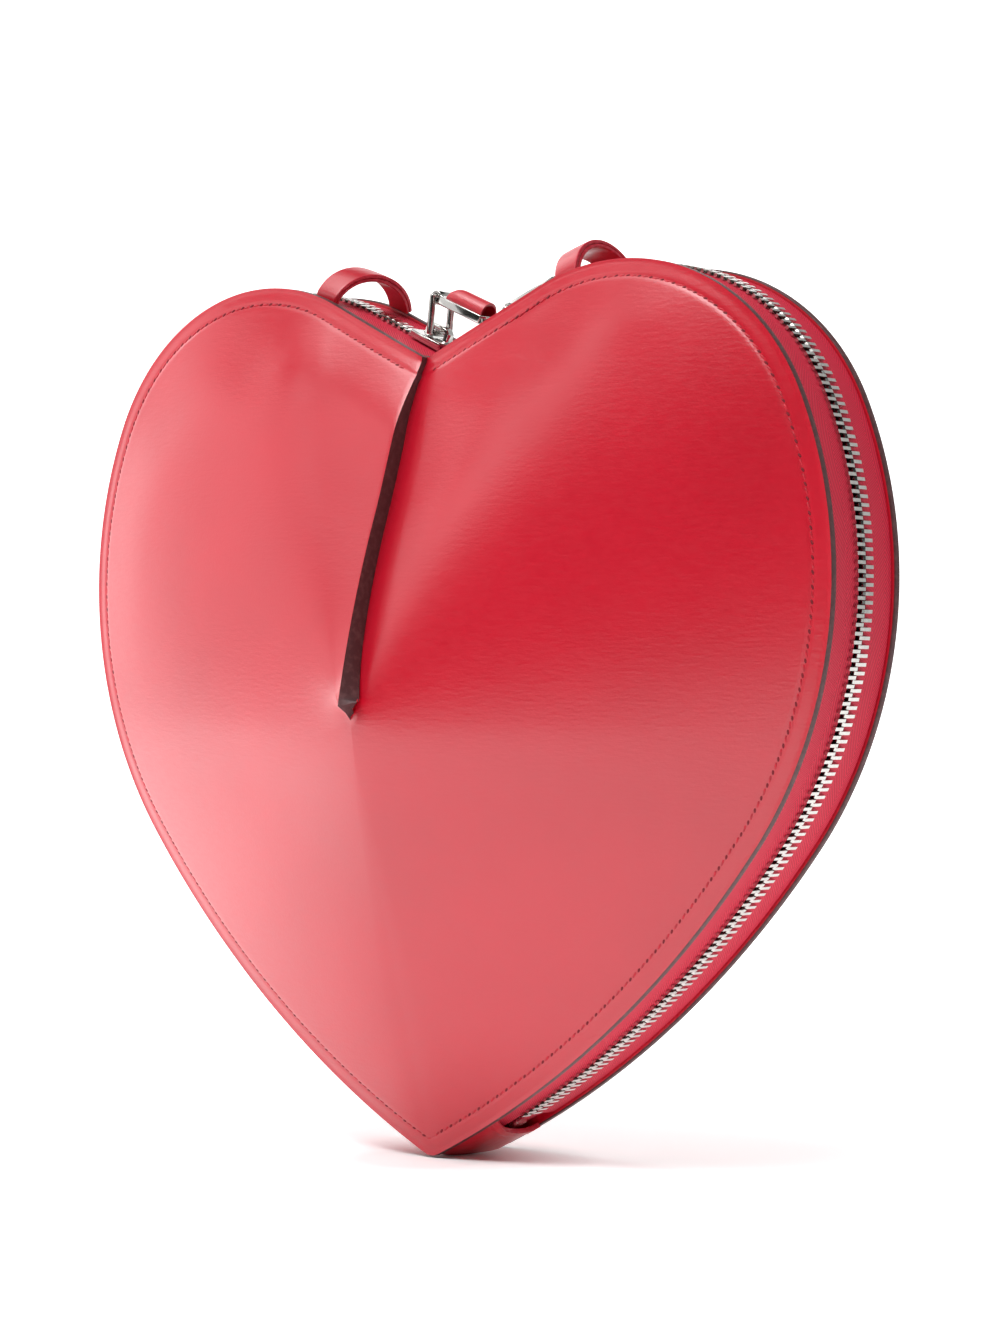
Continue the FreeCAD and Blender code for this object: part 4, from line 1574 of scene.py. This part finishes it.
@dataclass
class Studio:
    """White paper sweep, soft lights and the photograph's camera."""

    build: Build
    azimuth: float = 39.0
    elevation: float = -0.3
    roll: float = 0.38
    distance: float = 894.0
    lens: float = 128.4
    sensor: float = 36.0
    target_x: float = 9.3
    target_z: float = 122.4
    sweep_radius: float = 3000.0
    sweep_bend: float = 1200.0
    sweep_wall: float = 3000.0
    sweep_steps: int = 12
    boxes: tuple[SoftBox, ...] = (
        SoftBox("left_box", (-1.55, -0.45, 0.5), (0.75, 1.0), 2.0),
        SoftBox("left_front_box", (-1.3, -0.95, 0.5), (0.75, 1.0), 2.3),
        SoftBox("left_rear_box", (-1.6, 0.2, 0.5), (0.75, 1.0), 4.6),
        SoftBox("left_high_box", (-1.45, 0.25, 1.15), (0.9, 0.7), 3.6),
        SoftBox("front_high_box", (-1.0, -1.11, 1.12), (0.5, 0.5), 1.5),
        SoftBox("top_left_box", (-0.8, -0.2, 1.7), (1.0, 1.0), 4.5),
        SoftBox("top_box", (0.1, -0.3, 1.9), (2.0, 2.0), 9.0),
        SoftBox("top_front_box", (0.1, -0.9, 1.8), (1.4, 1.0), 31.0))

    def make_camera(self) -> None:
        """Places the camera."""
        around, up = math.radians(self.azimuth), math.radians(self.elevation)
        back = Vector((math.sin(around) * math.cos(up), -math.cos(around) * math.cos(up), math.sin(up)))
        right = Vector((math.cos(around), math.sin(around), 0))
        top = back.cross(right)
        cos, sin = math.cos(math.radians(self.roll)), math.sin(math.radians(self.roll))
        right, top = right * cos + top * sin, top * cos - right * sin
        turn = Matrix((right, top, back)).transposed().to_4x4()
        aim = Vector((self.target_x, self.build.middle, self.target_z)) * MM
        data = bpy.data.cameras.new("camera")
        data.sensor_fit = "HORIZONTAL"
        data.sensor_width = self.sensor
        data.lens = self.lens
        data.clip_start = 0.01
        camera = bpy.data.objects.new("camera", data)
        camera.matrix_world = Matrix.Translation(aim + back * self.distance * MM) @ turn
        bpy.context.scene.collection.objects.link(camera)
        bpy.context.scene.camera = camera

    def make_floor(self) -> None:
        """Builds the round paper sweep."""
        bpy.ops.object.select_all(action="DESELECT")
        bpy.ops.mesh.primitive_circle_add(vertices=96, radius=self.sweep_radius * MM, fill_type="NGON")
        floor = bpy.context.object
        floor.name = "paper_sweep"
        bpy.ops.object.mode_set(mode="EDIT")
        bpy.ops.mesh.select_all(action="SELECT")
        bpy.ops.mesh.select_mode(type="EDGE")
        bpy.ops.mesh.region_to_loop()
        radius, high = self.sweep_radius, 0.0
        for step in range(1, self.sweep_steps + 1):
            turn = math.pi / 2 * step / self.sweep_steps
            wide = self.sweep_radius + self.sweep_bend * math.sin(turn)
            rise = self.sweep_bend * (1 - math.cos(turn))
            bpy.ops.mesh.extrude_region_move(TRANSFORM_OT_translate={"value": (0, 0, (rise - high) * MM)})
            bpy.ops.transform.resize(value=(wide / radius, wide / radius, 1.0), center_override=(0, 0, 0))
            radius, high = wide, rise
        bpy.ops.mesh.extrude_region_move(TRANSFORM_OT_translate={"value": (0, 0, self.sweep_wall * MM)})
        bpy.ops.mesh.select_all(action="SELECT")
        bpy.ops.mesh.normals_make_consistent(inside=True)
        bpy.ops.object.mode_set(mode="OBJECT")
        dress(floor, (FloorPaper().make(),))
        finish_mesh(floor, 60)

    def make(self) -> None:
        """Builds the whole studio."""
        self.make_floor()
        self.make_camera()
        for box in self.boxes:
            box.make()
        world = bpy.data.worlds.new("studio_air")
        world.use_nodes = True
        background = world.node_tree.nodes["Background"]
        background.inputs["Color"].default_value = linear("#ffffff")
        background.inputs["Strength"].default_value = 0.0
        bpy.context.scene.world = world
        bpy.context.scene.view_settings.view_transform = "Standard"


def main() -> None:
    """Builds the purse on its frame and the studio round it."""
    logging.basicConfig(level=logging.INFO, format="%(message)s")
    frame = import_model()
    outline, build, finishes = HeartOutline(), Build.read(), Finishes.make()
    front = FrontPanel(outline, build, finishes)
    front.make()
    BackPanel(outline, build, finishes).make()
    ZipGusset(outline, build, finishes, front).make(frame)
    BaseGusset(outline, build, finishes).make()
    for hand in Hand:
        StrapTab(outline, build, finishes, hand).make()
        PullSet(frame, finishes, hand).make()
    Studio(build).make()


if __name__ == "__main__":
    main()
